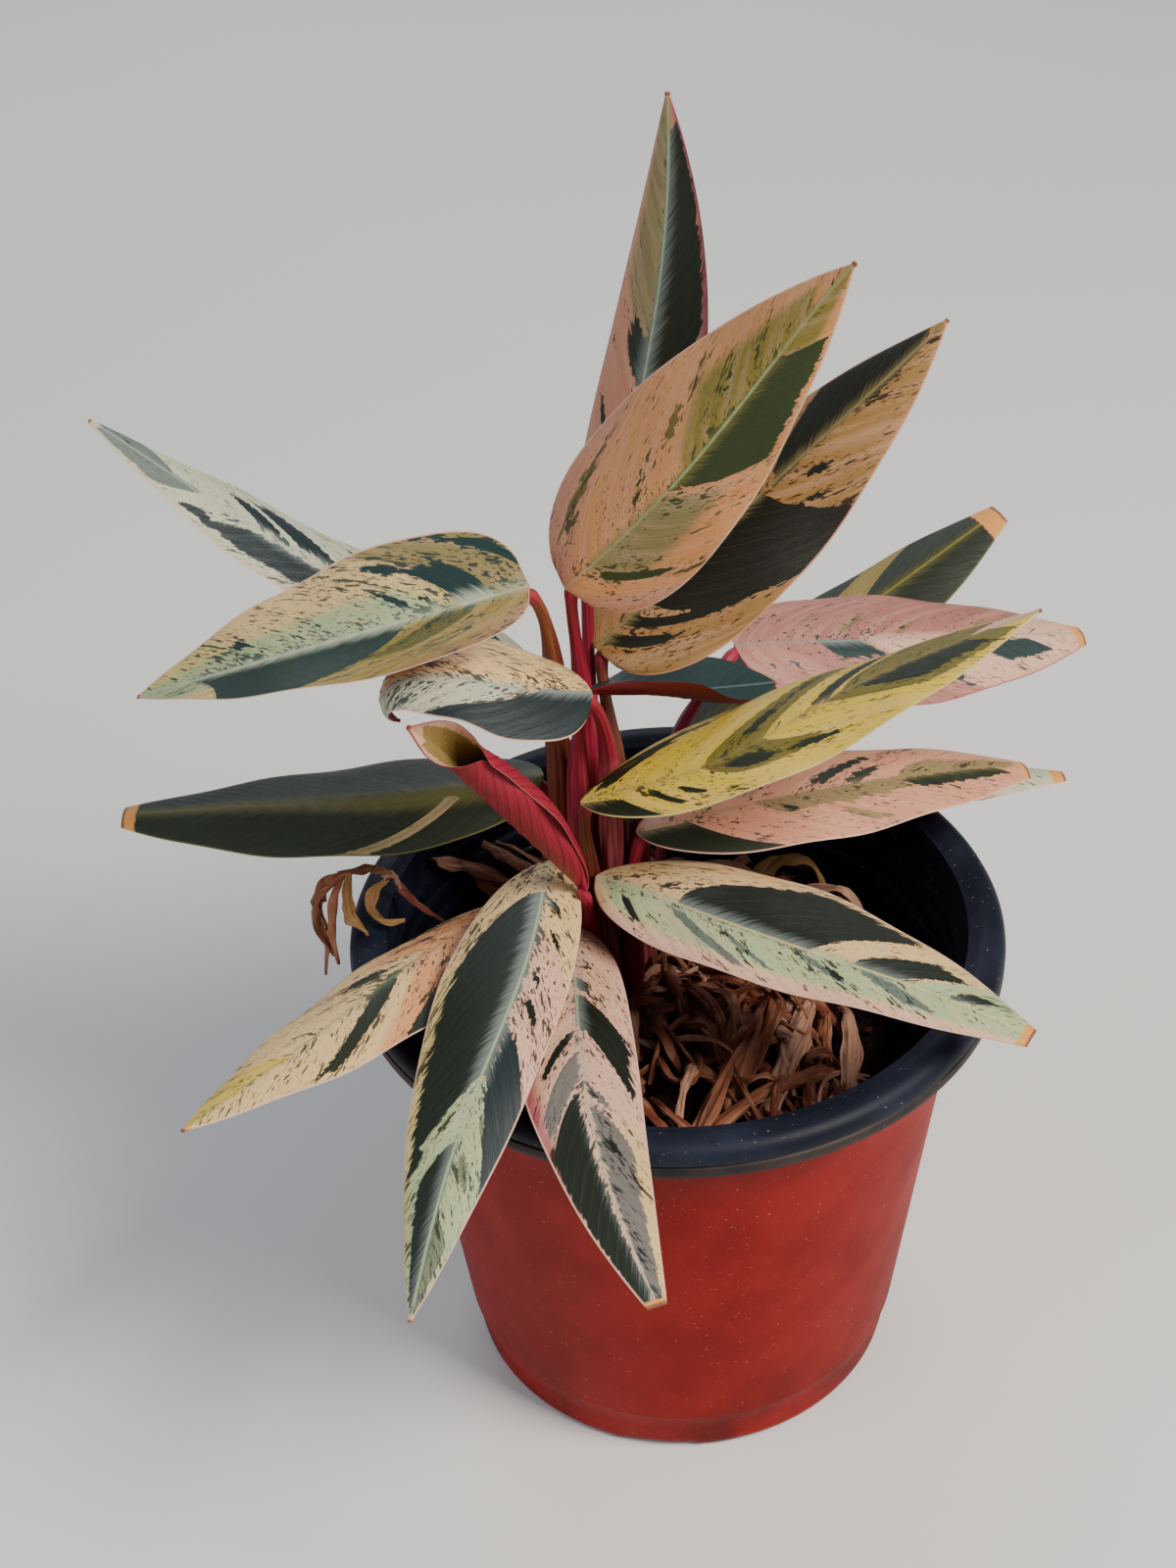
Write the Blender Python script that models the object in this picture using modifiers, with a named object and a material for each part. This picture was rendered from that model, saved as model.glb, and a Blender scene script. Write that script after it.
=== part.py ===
"""Potted stromanthe: a variegated prayer plant in a 160 mm nursery pot.

The origin is the middle of the pot's underside, +Z is up, and -Y is the side that the plant's
longest leaves lean towards. Lengths are in metres and angles in degrees.

Each leaf is a thin blade on its own stalk. The stalks stand together as the red stem, in holes in
the soil. Dried sheaths lie on the soil round them and hang over the rim at one side.
"""

import math
from dataclasses import dataclass

import bmesh
import bpy
import numpy as np

# Clearance between touching pieces
GAP = 0.0003

# Pot: a tapered nursery pot with a rolled rim
POT_HEIGHT = 0.134
RIM_RADIUS = 0.080
RIM_DROP = 0.0088
WALL_TOP_RADIUS = 0.0708
BASE_RADIUS = 0.056
WALL = 0.0016
RIM_FILLET = 0.0022
FLOOR_TOP = 0.0046
FOOT_HEIGHT = 0.0026
FOOT_RING_WIDTH = 0.008
CENTRE_FOOT_RADIUS = 0.020
INNER_STEPS = 3
STEP_DROP = 0.0065
STEP_DEPTH = 0.0009
NOTCH_COUNT = 4
NOTCH_WIDTH = 0.020
NOTCH_REACH = 0.016
NOTCH_FIRST = -98.0
DRAIN_COUNT = 8
DRAIN_RADIUS = 0.0045
DRAIN_CIRCLE = 0.034
DRAIN_SIDES = 10
DRAIN_DEPTH = 0.020
POT_SEGMENTS = 36

# Soil: fills the pot to its top level, slightly heaped
SOIL_TOP = 0.100
SOIL_HEAP = 0.0022
SOIL_RINGS = 5
SOIL_SEGMENTS = 28
SOIL_WALL_GAP = 0.0020
SOIL_RADIUS = (BASE_RADIUS + (WALL_TOP_RADIUS - BASE_RADIUS) / (POT_HEIGHT - RIM_DROP) * SOIL_TOP
               - WALL - SOIL_WALL_GAP)
STEM_CENTRE = (-0.016, 0.014)
STEM_HOLE_RADIUS = 0.0105
STALK_HOLE_EXTRA = 0.0006
STALK_HOLE_SIDES = 12
STALK_HOLE_CUT = 0.12

# Stalks: a sheath below, a slim petiole above, and a swollen joint under the blade
STALK_FOOT = 0.060
SHEATH_RADIUS = 0.0019
PETIOLE_RADIUS = 0.0013
JOINT_RADIUS = 0.0017
JOINT_LENGTH = 0.009
STALK_BLADE_GAP = 0.0010
STALK_STEPS = 7
SHEATH_SHARE = 0.5
SHEATH_TAPER = 1.6
START_PULL = 0.45
END_PULL = 0.3
END_REACH = 0.005

# Blades
BLADE_THICKNESS = 0.0008
BLADE_ROWS = 13
BLADE_COLUMNS = 6
TIP_POWER = 0.9
LEAST_HALF_WIDTH = 0.0006
LEAST_BEND_RADIUS = 0.0013
WAVES_ALONG = 3.0
WAVE_LAG = 1.3
MIDRIB_STEPS = 200

# Dried litter: curled strips that rise from a thin mat on the soil, or from knots at the rim
MAT_LIFT = 0.0013
MAT_THICKNESS = 0.0012
MAT_RINGS = 3
MAT_SEGMENTS = 14
MAT_LOBE = 0.12
STRIP_THICKNESS = 0.0009
STRIP_STEPS = 3
STRIP_END_SHARE = 0.45
KNOT_RADIUS = 0.0026


@dataclass(frozen=True)
class Leaf:
    """One leaf: where its blade starts, how the midrib runs and how the two halves curl.

    heading is the midrib's compass at the blade's foot, 0 along +X and 90 along +Y, and swing
    is how far it turns by the tip. rise is the midrib's slope at the foot, and arch is how far
    the slope falls by the tip, evenly where droop is 1 and nearer to the tip where it is more.
    roll lifts the right half, as seen from the foot, and twist adds to it by the tip. fold and
    curl hold a left and a right angle: the slope of each half beside the midrib, and what is
    added by its margin, with upwards positive. cut is the share of the full outline that a
    trimmed tip leaves, and a low fullness gives a broad round foot. stand is where the stalk
    enters the soil, and leave is the height where it bends away from the stem.
    """

    name: str
    base: tuple
    length: float
    width: float
    heading: float
    rise: float
    stand: tuple
    leave: float
    arch: float = 20.0
    droop: float = 1.0
    swing: float = 0.0
    roll: float = 0.0
    twist: float = 0.0
    fold: tuple = (-6.0, -6.0)
    curl: tuple = (-20.0, -20.0)
    cut: float = 1.0
    fullness: float = 0.5
    wave: float = 0.0006


LEAVES = (
    Leaf("top", (-0.019, 0.028, 0.212), 0.121, 0.030, 16, 66, (-0.0182, 0.0177), 0.150,
         arch=-27, roll=-70, fold=(-30, -6), curl=(-30, 70)),
    Leaf("centre", (-0.0235, 0.009, 0.2245), 0.109, 0.040, -20, 56, (-0.0205, 0.0125), 0.185,
         arch=4, roll=-70, fullness=0.35),
    Leaf("back_right", (-0.017, 0.022, 0.1985), 0.111, 0.041, 19, 36, (-0.0135, 0.0180), 0.165,
         arch=-3, roll=-25, fullness=0.4),
    Leaf("far_left", (-0.033, 0.032, 0.189), 0.118, 0.032, 170, 27, (-0.0225, 0.0177), 0.150,
         arch=-8),
    Leaf("left", (-0.0315, 0.002, 0.230), 0.105, 0.039, 187, -14, (-0.0271, 0.0130), 0.195,
         arch=15, swing=-36, roll=18, fold=(18, 22), curl=(5, 5), fullness=0.35),
    Leaf("small_left", (-0.0185, -0.0065, 0.206), 0.062, 0.036, 183, 23, (-0.0150, 0.0062), 0.170,
         arch=190, droop=4, roll=3, fullness=0.4),
    Leaf("dark_right", (-0.0195, 0.002, 0.2008), 0.063, 0.031, 37, -26, (-0.0225, 0.0080), 0.170,
         arch=-6, roll=20, twist=-60, fold=(-4, 4), curl=(-15, 55), fullness=0.8),
    Leaf("striped_right", (0.003, 0.067, 0.1342), 0.109, 0.035, 26.5, 23.5, (-0.0045, 0.0190), 0.103,
         arch=2, roll=-8, cut=0.93),
    Leaf("pink_right", (0.0175, 0.048, 0.180), 0.107, 0.040, 22, -12, (-0.0085, 0.0128), 0.140,
         arch=6, roll=-17, cut=0.95),
    Leaf("sunlit_right", (-0.022, -0.007, 0.1755), 0.114, 0.035, 2, 23, (-0.0205, 0.0040), 0.140,
         arch=-2, roll=-12, twist=14, fold=(-8, 8), fullness=0.65),
    Leaf("salmon_right", (-0.009, 0.004, 0.157), 0.105, 0.036, 17, 11, (-0.0110, 0.0030), 0.120,
         arch=31, cut=0.94, fullness=0.6),
    Leaf("pale_right", (-0.008, 0.030, 0.136), 0.114, 0.028, 10, 12, (-0.0125, 0.0225), 0.108,
         arch=26, roll=3, cut=0.95),
    Leaf("front_right", (-0.019, -0.002, 0.149), 0.113, 0.034, -31, 13, (-0.0165, 0.0005), 0.120,
         arch=30, roll=-7, cut=0.95),
    Leaf("low_left", (-0.031, 0.020, 0.163), 0.107, 0.034, 175, -10, (-0.0300, 0.0170), 0.135,
         arch=-5, roll=7, cut=0.93),
    Leaf("rolled", (-0.0217, -0.0108, 0.1513), 0.089, 0.030, 223, 57, (-0.0210, -0.0015), 0.125,
         arch=0, roll=-30, fold=(12, 12), curl=(135, 135), fullness=0.7),
    Leaf("front_left", (-0.040, -0.001, 0.141), 0.105, 0.034, 227, 5, (-0.0345, 0.0050), 0.122,
         arch=6, roll=-10),
    Leaf("front", (-0.030, 0.002, 0.151), 0.126, 0.031, 254, 7, (-0.0300, 0.0090), 0.125,
         arch=44, fold=(0, -6)),
    Leaf("front_middle", (-0.0245, -0.003, 0.134), 0.121, 0.028, 263, 14, (-0.0260, 0.0042), 0.110,
         arch=31, swing=28, fold=(-4, 4), curl=(-8, -8), cut=0.95),
)


@dataclass(frozen=True)
class Strip:
    """One dried strip: its width, and the points that its middle line passes through.

    A point's last number is its height, above the mat for a strip that rises from one and above
    the ground for a strip that hangs from a knot. tilt is how far the strip's flat side
    leans, and turn is how much further it leans at its far end.
    """

    width: float
    points: tuple
    tilt: float = 0.0
    turn: float = 30.0


@dataclass(frozen=True)
class Litter:
    """A tangle of dried strips, held together by one mat on the soil or by knots.

    mat holds the mat's centre and its two half sizes, and knots are the places of the knots.
    """

    name: str
    strips: tuple
    mat: tuple = ()
    knots: tuple = ()


LITTER = (
    Litter("front", mat=(0.018, -0.018, 0.034, 0.026), strips=(
        Strip(0.006, ((0.012, 0.004, 0.0), (0.012, -0.006, 0.007), (0.011, -0.020, 0.007),
              (0.008, -0.032, 0.0))),
        Strip(0.006, ((0.033, -0.003, 0.0), (0.029, -0.010, 0.006), (0.024, -0.021, 0.006),
              (0.022, -0.032, 0.0)), turn=-30),
        Strip(0.005, ((0.040, -0.022, 0.0), (0.030, -0.027, 0.007), (0.020, -0.034, 0.008),
              (0.006, -0.038, 0.0))),
        Strip(0.005, ((0.043, -0.006, 0.0), (0.044, -0.014, 0.006), (0.043, -0.024, 0.006),
              (0.036, -0.032, 0.0)), turn=-20),
        Strip(0.0022, ((-0.009, -0.010, 0.0), (-0.001, -0.017, 0.009), (0.006, -0.021, 0.009),
              (0.014, -0.026, 0.0))),
        Strip(0.0022, ((-0.007, -0.017, 0.0), (-0.004, -0.027, 0.007), (0.000, -0.032, 0.009),
              (0.004, -0.027, 0.008), (0.004, -0.019, 0.0))),
        Strip(0.003, ((-0.006, -0.026, 0.0), (-0.003, -0.038, 0.005), (0.004, -0.044, 0.006),
              (0.013, -0.040, 0.0))),
        Strip(0.007, ((0.022, -0.010, 0.0), (0.015, -0.024, 0.005), (0.007, -0.033, 0.005),
              (0.003, -0.038, 0.0)), tilt=20),
        Strip(0.004, ((-0.004, 0.000, 0.0), (0.004, 0.000, 0.008), (0.010, -0.006, 0.008),
              (0.014, -0.013, 0.0)), turn=-40),
        Strip(0.004, ((0.018, 0.005, 0.0), (0.024, 0.002, 0.007), (0.031, -0.006, 0.007),
              (0.037, -0.016, 0.0))),
    )),
    Litter("back", mat=(0.000, 0.043, 0.038, 0.013), strips=(
        Strip(0.005, ((-0.022, 0.039, 0.0), (-0.037, 0.038, 0.009), (-0.049, 0.036, 0.018),
              (-0.057, 0.033, 0.027))),
        Strip(0.004, ((-0.020, 0.044, 0.0), (-0.028, 0.044, 0.011), (-0.037, 0.044, 0.019),
              (-0.045, 0.043, 0.025)), turn=-50),
        Strip(0.005, ((-0.026, 0.046, 0.0), (-0.018, 0.049, 0.014), (-0.006, 0.050, 0.016),
              (0.008, 0.048, 0.0))),
        Strip(0.006, ((-0.006, 0.038, 0.0), (0.002, 0.042, 0.012), (0.016, 0.046, 0.013),
              (0.028, 0.044, 0.0)), turn=-30),
        Strip(0.008, ((0.018, 0.048, 0.0), (0.028, 0.049, 0.011), (0.038, 0.045, 0.012),
              (0.040, 0.039, 0.0)), tilt=20),
        Strip(0.005, ((0.024, 0.042, 0.0), (0.035, 0.038, 0.009), (0.045, 0.034, 0.013),
              (0.049, 0.029, 0.012))),
    )),
    Litter("rim", knots=((-0.081, 0.0135, 0.1405), (-0.0695, 0.0130, 0.1395)), strips=(
        Strip(0.0035, ((-0.081, 0.0135, 0.1405), (-0.0860, 0.0130, 0.1385), (-0.0880, 0.0125, 0.1320),
              (-0.0872, 0.0120, 0.1240), (-0.0885, 0.0130, 0.1080)), turn=60),
        Strip(0.0030, ((-0.081, 0.0135, 0.1405), (-0.0800, 0.0060, 0.1390), (-0.0790, 0.0000, 0.1370),
              (-0.0750, -0.0050, 0.1362)), turn=40),
        Strip(0.0024, ((-0.081, 0.0135, 0.1405), (-0.0835, 0.0070, 0.1385), (-0.0840, 0.0000, 0.1330),
              (-0.0830, -0.0030, 0.1250))),
        Strip(0.0034, ((-0.081, 0.0135, 0.1405), (-0.0750, 0.0140, 0.1418), (-0.0695, 0.0130, 0.1395))),
        Strip(0.0026, ((-0.0695, 0.0130, 0.1395), (-0.0665, 0.0100, 0.1365), (-0.0620, 0.0070, 0.1340),
              (-0.0570, 0.0060, 0.1300))),
        Strip(0.0024, ((-0.0695, 0.0130, 0.1395), (-0.0735, 0.0090, 0.1385), (-0.0745, 0.0040, 0.1372),
              (-0.0710, -0.0010, 0.1370), (-0.0660, -0.0010, 0.1370))),
    )),
)


def midrib(leaf, along):
    """Return the midrib's points and its frame at the given shares of the blade's length.

    The direction follows the leaf's heading and rise, and the points are its running sum. The
    frame is the direction, the way to the right and the way up from the blade.
    """
    fine = np.linspace(0.0, 1.0, MIDRIB_STEPS + 1)
    ways = [midrib_direction(leaf, share) for share in fine]
    middles = 0.5 * (np.array(ways[1:]) + np.array(ways[:-1]))
    steps = leaf.length / MIDRIB_STEPS * middles
    line = np.vstack([np.zeros(3), np.cumsum(steps, axis=0)]) + np.array(leaf.base)
    points = np.stack([np.interp(along, fine, line[:, axis]) for axis in range(3)], axis=1)
    forward = np.array([midrib_direction(leaf, share) for share in along])
    heading = np.radians(leaf.heading + leaf.swing * along)
    level = np.stack([np.sin(heading), -np.cos(heading), np.zeros_like(heading)], axis=1)
    above = np.cross(level, forward)
    turn = np.radians(leaf.roll + leaf.twist * along)[:, None]
    right = np.cos(turn) * level + np.sin(turn) * above
    up = np.cos(turn) * above - np.sin(turn) * level
    return points, forward, right, up


def midrib_direction(leaf, share):
    """Return the midrib's unit direction at a share of the blade's length."""
    heading = math.radians(leaf.heading + leaf.swing * share)
    rise = math.radians(leaf.rise - leaf.arch * share ** leaf.droop)
    return (math.cos(rise) * math.cos(heading), math.cos(rise) * math.sin(heading), math.sin(rise))


def half_width(leaf, along):
    """Return the blade's half width: a rounded foot and a long drawn-out tip."""
    peak = leaf.fullness / (leaf.fullness + TIP_POWER)
    share = np.clip(along * leaf.cut, 1e-6, 1.0)
    outline = share ** leaf.fullness * np.clip(1.0 - share, 0.0, 1.0) ** TIP_POWER
    outline = outline / (peak ** leaf.fullness * (1.0 - peak) ** TIP_POWER)
    return np.maximum(0.5 * leaf.width * outline, LEAST_HALF_WIDTH)


def blade_points(leaf, across, along):
    """Return points of the blade's middle surface.

    across runs from -1 at the left margin to 1 at the right one, and along from 0 at the foot
    to 1 at the tip. Each half leaves the midrib at its fold angle and bends evenly by its curl
    angle to the margin, so its cross-section is an arc, never bent tighter than the least radius.
    A low wave runs along the margins.
    """
    points, _, right, up = midrib(leaf, along)
    side = np.sign(across)
    reach = np.abs(across)
    fold = np.radians(np.where(across < 0, leaf.fold[0], leaf.fold[1]))
    curl = np.radians(np.where(across < 0, leaf.curl[0], leaf.curl[1]))
    half = half_width(leaf, along)
    curl = np.clip(curl, -half / LEAST_BEND_RADIUS, half / LEAST_BEND_RADIUS)
    angle = fold + 0.5 * curl * reach
    chord = half * reach * np.sinc(0.5 * curl * reach / math.pi)
    ripple = leaf.wave * reach ** 2 * np.sin(2.0 * math.pi * WAVES_ALONG * along + WAVE_LAG * side)
    lift = chord * np.sin(angle) + ripple * np.sin(math.pi * along)
    return points + (side * chord * np.cos(angle))[:, None] * right + lift[:, None] * up


def clear_scene():
    """Remove every object of the open file."""
    for item in list(bpy.data.objects):
        bpy.data.objects.remove(item, do_unlink=True)


def make_collection(name):
    """Return a new collection linked to the scene."""
    collection = bpy.data.collections.new(name)
    bpy.context.scene.collection.children.link(collection)
    return collection


def make_material(name, colour, roughness):
    """Return a plain Principled material."""
    material = bpy.data.materials.new(name)
    material.use_nodes = True
    shader = material.node_tree.nodes["Principled BSDF"]
    shader.inputs["Base Color"].default_value = (*colour, 1.0)
    shader.inputs["Roughness"].default_value = roughness
    shader.inputs["Metallic"].default_value = 0.0
    return material


def add_object(name, data, collection, material):
    """Link a new object with its material to a collection."""
    item = bpy.data.objects.new(name, data)
    data.materials.append(material)
    collection.objects.link(item)
    return item


def mesh_from_bmesh(name, shape):
    """Turn a bmesh into a mesh and free it."""
    mesh = bpy.data.meshes.new(name)
    shape.to_mesh(mesh)
    shape.free()
    return mesh


def make_blade(leaf, collection, material):
    """Build one blade: a flat grid moved onto the leaf's surface, split alike, then thickened."""
    shape = bmesh.new()
    bmesh.ops.create_grid(shape, x_segments=BLADE_COLUMNS, y_segments=BLADE_ROWS, size=1.0)
    vertices = list(shape.verts)
    across = np.array([vertex.co.x for vertex in vertices])
    along = np.array([0.5 * (vertex.co.y + 1.0) for vertex in vertices])
    for vertex, place in zip(vertices, blade_points(leaf, across, along)):
        vertex.co = place
    bmesh.ops.triangulate(shape, faces=list(shape.faces), quad_method="SHORT_EDGE")
    blade = add_object("blade_" + leaf.name, mesh_from_bmesh(leaf.name, shape), collection, material)
    wall = blade.modifiers.new("thickness", "SOLIDIFY")
    wall.thickness = BLADE_THICKNESS
    wall.offset = 0.0
    return blade


def stalk_path(leaf):
    """Return the stalk's centre line: straight up from the soil, then one smooth bend.

    The bend is a cubic curve that leaves upwards and arrives along the blade's midrib.
    """
    end_way = np.array(midrib_direction(leaf, 0.0))
    end = np.array(leaf.base) - STALK_BLADE_GAP * end_way
    start = np.array([leaf.stand[0], leaf.stand[1], leaf.leave])
    span = np.linalg.norm(end - start)
    upwards = np.array([0.0, 0.0, START_PULL * span])
    handles = (start, start + upwards, end - min(END_PULL * span, END_REACH) * end_way, end)
    foot = np.array([leaf.stand[0], leaf.stand[1], STALK_FOOT])
    straight = [foot, 0.5 * (foot + start)]
    shares = np.linspace(0.0, 1.0, STALK_STEPS + 1)
    bend = [cubic(handles, share) for share in shares]
    return np.array(straight + bend)


def cubic(handles, share):
    """Return a point of the cubic curve with the four given handles."""
    rest = 1.0 - share
    weights = (rest ** 3, 3 * share * rest ** 2, 3 * share ** 2 * rest, share ** 3)
    return sum(weight * handle for weight, handle in zip(weights, handles))


def stalk_radii(path):
    """Return the radius at each point: sheath, then petiole, then the swollen joint."""
    lengths = np.linalg.norm(np.diff(path, axis=0), axis=1)
    to_end = np.concatenate([np.cumsum(lengths[::-1])[::-1], [0.0]])
    sheath_share = np.clip(to_end / to_end.max() * SHEATH_TAPER - SHEATH_SHARE, 0.0, 1.0)
    radii = PETIOLE_RADIUS + (SHEATH_RADIUS - PETIOLE_RADIUS) * sheath_share
    swelling = np.clip(1.0 - to_end / JOINT_LENGTH, 0.0, 1.0)
    return radii + (JOINT_RADIUS - PETIOLE_RADIUS) * np.sin(0.5 * math.pi * swelling)


def make_stalk(leaf, collection, material):
    """Build one stalk as a round tube along its path."""
    path = stalk_path(leaf)
    curve = bpy.data.curves.new(leaf.name, "CURVE")
    curve.dimensions = "3D"
    curve.bevel_depth = 1.0
    curve.bevel_resolution = 2
    curve.use_fill_caps = True
    spline = curve.splines.new("POLY")
    spline.points.add(len(path) - 1)
    for point, place, radius in zip(spline.points, path, stalk_radii(path)):
        point.co = (*place, 1.0)
        point.radius = radius
    return add_object("stalk_" + leaf.name, curve, collection, material)


def pot_profile():
    """Return the pot's outline in radius and height, from the inside down round to the axis.

    It starts at the rim's top, runs down the outer side and ends on the axis underneath; then
    the inner side closes it, with the shallow steps under the rim.
    """
    rim_bottom = POT_HEIGHT - RIM_DROP
    slope = (WALL_TOP_RADIUS - BASE_RADIUS) / rim_bottom
    flange_inside = WALL_TOP_RADIUS + 0.0022
    outside = [
        (RIM_RADIUS - 0.0052, POT_HEIGHT),
        (RIM_RADIUS - RIM_FILLET, POT_HEIGHT - 0.0004),
        (RIM_RADIUS - 0.0007, POT_HEIGHT - 0.0016),
        (RIM_RADIUS, POT_HEIGHT - 0.0036),
        (RIM_RADIUS - 0.0001, rim_bottom + 0.0008),
        (RIM_RADIUS - 0.0008, rim_bottom),
        (RIM_RADIUS - 0.0020, rim_bottom + 0.0004),
        (RIM_RADIUS - 0.0022, POT_HEIGHT - 0.0032),
        (flange_inside, POT_HEIGHT - 0.0034),
        (WALL_TOP_RADIUS + 0.0002, POT_HEIGHT - 0.0056),
        (BASE_RADIUS + slope * 0.014, 0.0140),
        (BASE_RADIUS + slope * 0.0135 - 0.0006, 0.0128),
        (BASE_RADIUS - 0.0004, 0.0022),
        (BASE_RADIUS - 0.0022, 0.0),
        (BASE_RADIUS - FOOT_RING_WIDTH, 0.0),
        (BASE_RADIUS - FOOT_RING_WIDTH - 0.0010, FOOT_HEIGHT),
        (CENTRE_FOOT_RADIUS + 0.0010, FOOT_HEIGHT),
        (CENTRE_FOOT_RADIUS, 0.0),
        (0.0, 0.0),
    ]
    inner_top = WALL_TOP_RADIUS - 0.0006
    inside = [(0.0, FLOOR_TOP), (BASE_RADIUS - WALL - 0.0030, FLOOR_TOP),
              (BASE_RADIUS - WALL, FLOOR_TOP + 0.0030)]
    for step in reversed(range(INNER_STEPS)):
        height = POT_HEIGHT - 0.0040 - (step + 1) * STEP_DROP
        radius = inner_top - (step + 1) * STEP_DEPTH - WALL * 0.5
        inside.append((radius, height))
        inside.append((radius + STEP_DEPTH, height + 0.0008))
    inside.append((inner_top + 0.0004, POT_HEIGHT - 0.0020))
    inside.append((RIM_RADIUS - 0.0068, POT_HEIGHT - 0.0004))
    return outside, inside


def make_pot(collection, cutters, material):
    """Turn the pot's profile, then cut the foot's notches and the floor's drain holes."""
    outside, inside = pot_profile()
    profile = inside + outside
    shape = bmesh.new()
    corners = [shape.verts.new((radius, 0.0, height)) for radius, height in profile]
    for first, second in zip(corners[:-1], corners[1:]):
        shape.edges.new((first, second))
    pot = add_object("pot", mesh_from_bmesh("pot", shape), collection, material)
    turned = pot.modifiers.new("turned", "SCREW")
    turned.steps = POT_SEGMENTS
    turned.render_steps = POT_SEGMENTS
    turned.use_merge_vertices = True
    turned.merge_threshold = 0.00005
    for index in range(NOTCH_COUNT):
        angle = math.radians(NOTCH_FIRST + index * 360.0 / NOTCH_COUNT)
        cut_with(pot, notch_cutter(index, angle, cutters))
    for index in range(DRAIN_COUNT):
        angle = math.radians(NOTCH_FIRST + (index + 0.5) * 360.0 / DRAIN_COUNT)
        cut_with(pot, drain_cutter(index, angle, cutters))
    return pot


def as_cutter(name, shape, cutters):
    """Return a hidden wire object that only cuts."""
    cutter = bpy.data.objects.new(name, mesh_from_bmesh(name, shape))
    cutter.hide_render = True
    cutter.display_type = "WIRE"
    cutters.objects.link(cutter)
    return cutter


def cut_with(item, cutter):
    """Take a cutter out of an object with an exact Boolean."""
    cut = item.modifiers.new(cutter.name, "BOOLEAN")
    cut.operation = "DIFFERENCE"
    cut.solver = "EXACT"
    cut.object = cutter


def notch_cutter(index, angle, cutters):
    """Return a block that opens a drain notch through the foot ring."""
    shape = bmesh.new()
    bmesh.ops.create_cube(shape, size=1.0)
    size = (NOTCH_REACH, NOTCH_WIDTH, 2.0 * (FOOT_HEIGHT - 0.0004))
    bmesh.ops.scale(shape, vec=size, verts=shape.verts)
    cutter = as_cutter("notch_%d" % index, shape, cutters)
    reach = BASE_RADIUS - 0.5 * FOOT_RING_WIDTH
    cutter.location = (reach * math.cos(angle), reach * math.sin(angle), 0.0)
    cutter.rotation_euler = (0.0, 0.0, angle)
    return cutter


def drain_cutter(index, angle, cutters):
    """Return a peg that drills a drain hole through the pot's floor."""
    shape = bmesh.new()
    bmesh.ops.create_cone(shape, cap_ends=True, segments=DRAIN_SIDES, radius1=DRAIN_RADIUS,
                          radius2=DRAIN_RADIUS, depth=DRAIN_DEPTH)
    cutter = as_cutter("drain_%d" % index, shape, cutters)
    cutter.location = (DRAIN_CIRCLE * math.cos(angle), DRAIN_CIRCLE * math.sin(angle), FLOOR_TOP)
    return cutter


def make_soil(collection, cutters, material):
    """Fill the pot with soil: a turned plug whose top is slightly heaped, drilled for the stalks."""
    low = FLOOR_TOP + GAP
    low_radius = BASE_RADIUS - WALL - 0.0034
    profile = [(0.0, low), (low_radius, low), (low_radius + 0.0016, low + 0.0040)]
    for ring in range(SOIL_RINGS):
        share = 1.0 - ring / (SOIL_RINGS - 0.5)
        profile.append((SOIL_RADIUS * share, SOIL_TOP - SOIL_HEAP))
    profile.append((0.0, SOIL_TOP - SOIL_HEAP))
    shape = bmesh.new()
    corners = [shape.verts.new((radius, 0.0, height)) for radius, height in reversed(profile)]
    edges = [shape.edges.new(pair) for pair in zip(corners[:-1], corners[1:])]
    bmesh.ops.spin(shape, geom=corners + edges, cent=(0, 0, 0), axis=(0, 0, 1),
                   angle=2.0 * math.pi, steps=SOIL_SEGMENTS, use_merge=True)
    bmesh.ops.remove_doubles(shape, verts=shape.verts, dist=0.00005)
    for vertex in shape.verts:
        if vertex.co.z > SOIL_TOP - 2.0 * SOIL_HEAP:
            vertex.co.z = soil_height(vertex.co.x, vertex.co.y)
    bmesh.ops.recalc_face_normals(shape, faces=shape.faces)
    bmesh.ops.triangulate(shape, faces=list(shape.faces))
    soil = add_object("soil", mesh_from_bmesh("soil", shape), collection, material)
    for name, place, radius in stalk_holes():
        cut_with(soil, hole_cutter(name, place, radius, cutters))
    return soil


def soil_height(x, y):
    """Return the height of the soil's top at a place: low waves that die out at the wall."""
    fade = max(0.0, 1.0 - (math.hypot(x, y) / SOIL_RADIUS) ** 2)
    wave = math.sin(90.0 * x + 1.0) * math.cos(70.0 * y) + 0.5 * math.sin(160.0 * y - 100.0 * x)
    return SOIL_TOP - SOIL_HEAP + SOIL_HEAP * fade * (1.0 + 0.6 * wave)


def stalk_holes():
    """Return the name, place and radius of each hole in the soil: one for the stem, then singles."""
    holes = [("hole_stem", STEM_CENTRE, STEM_HOLE_RADIUS)]
    for leaf in LEAVES:
        from_stem = math.dist(leaf.stand, STEM_CENTRE)
        if from_stem + SHEATH_RADIUS + GAP > STEM_HOLE_RADIUS:
            holes.append(("hole_" + leaf.name, leaf.stand, SHEATH_RADIUS + STALK_HOLE_EXTRA))
    return holes


def hole_cutter(name, place, radius, cutters):
    """Return a peg that drills a plain hole down to just below the stalks' feet."""
    shape = bmesh.new()
    bmesh.ops.create_cone(shape, cap_ends=True, segments=STALK_HOLE_SIDES, radius1=radius,
                          radius2=radius, depth=STALK_HOLE_CUT)
    cutter = as_cutter(name, shape, cutters)
    cutter.location = (*place, STALK_FOOT - GAP + 0.5 * STALK_HOLE_CUT)
    return cutter


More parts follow.
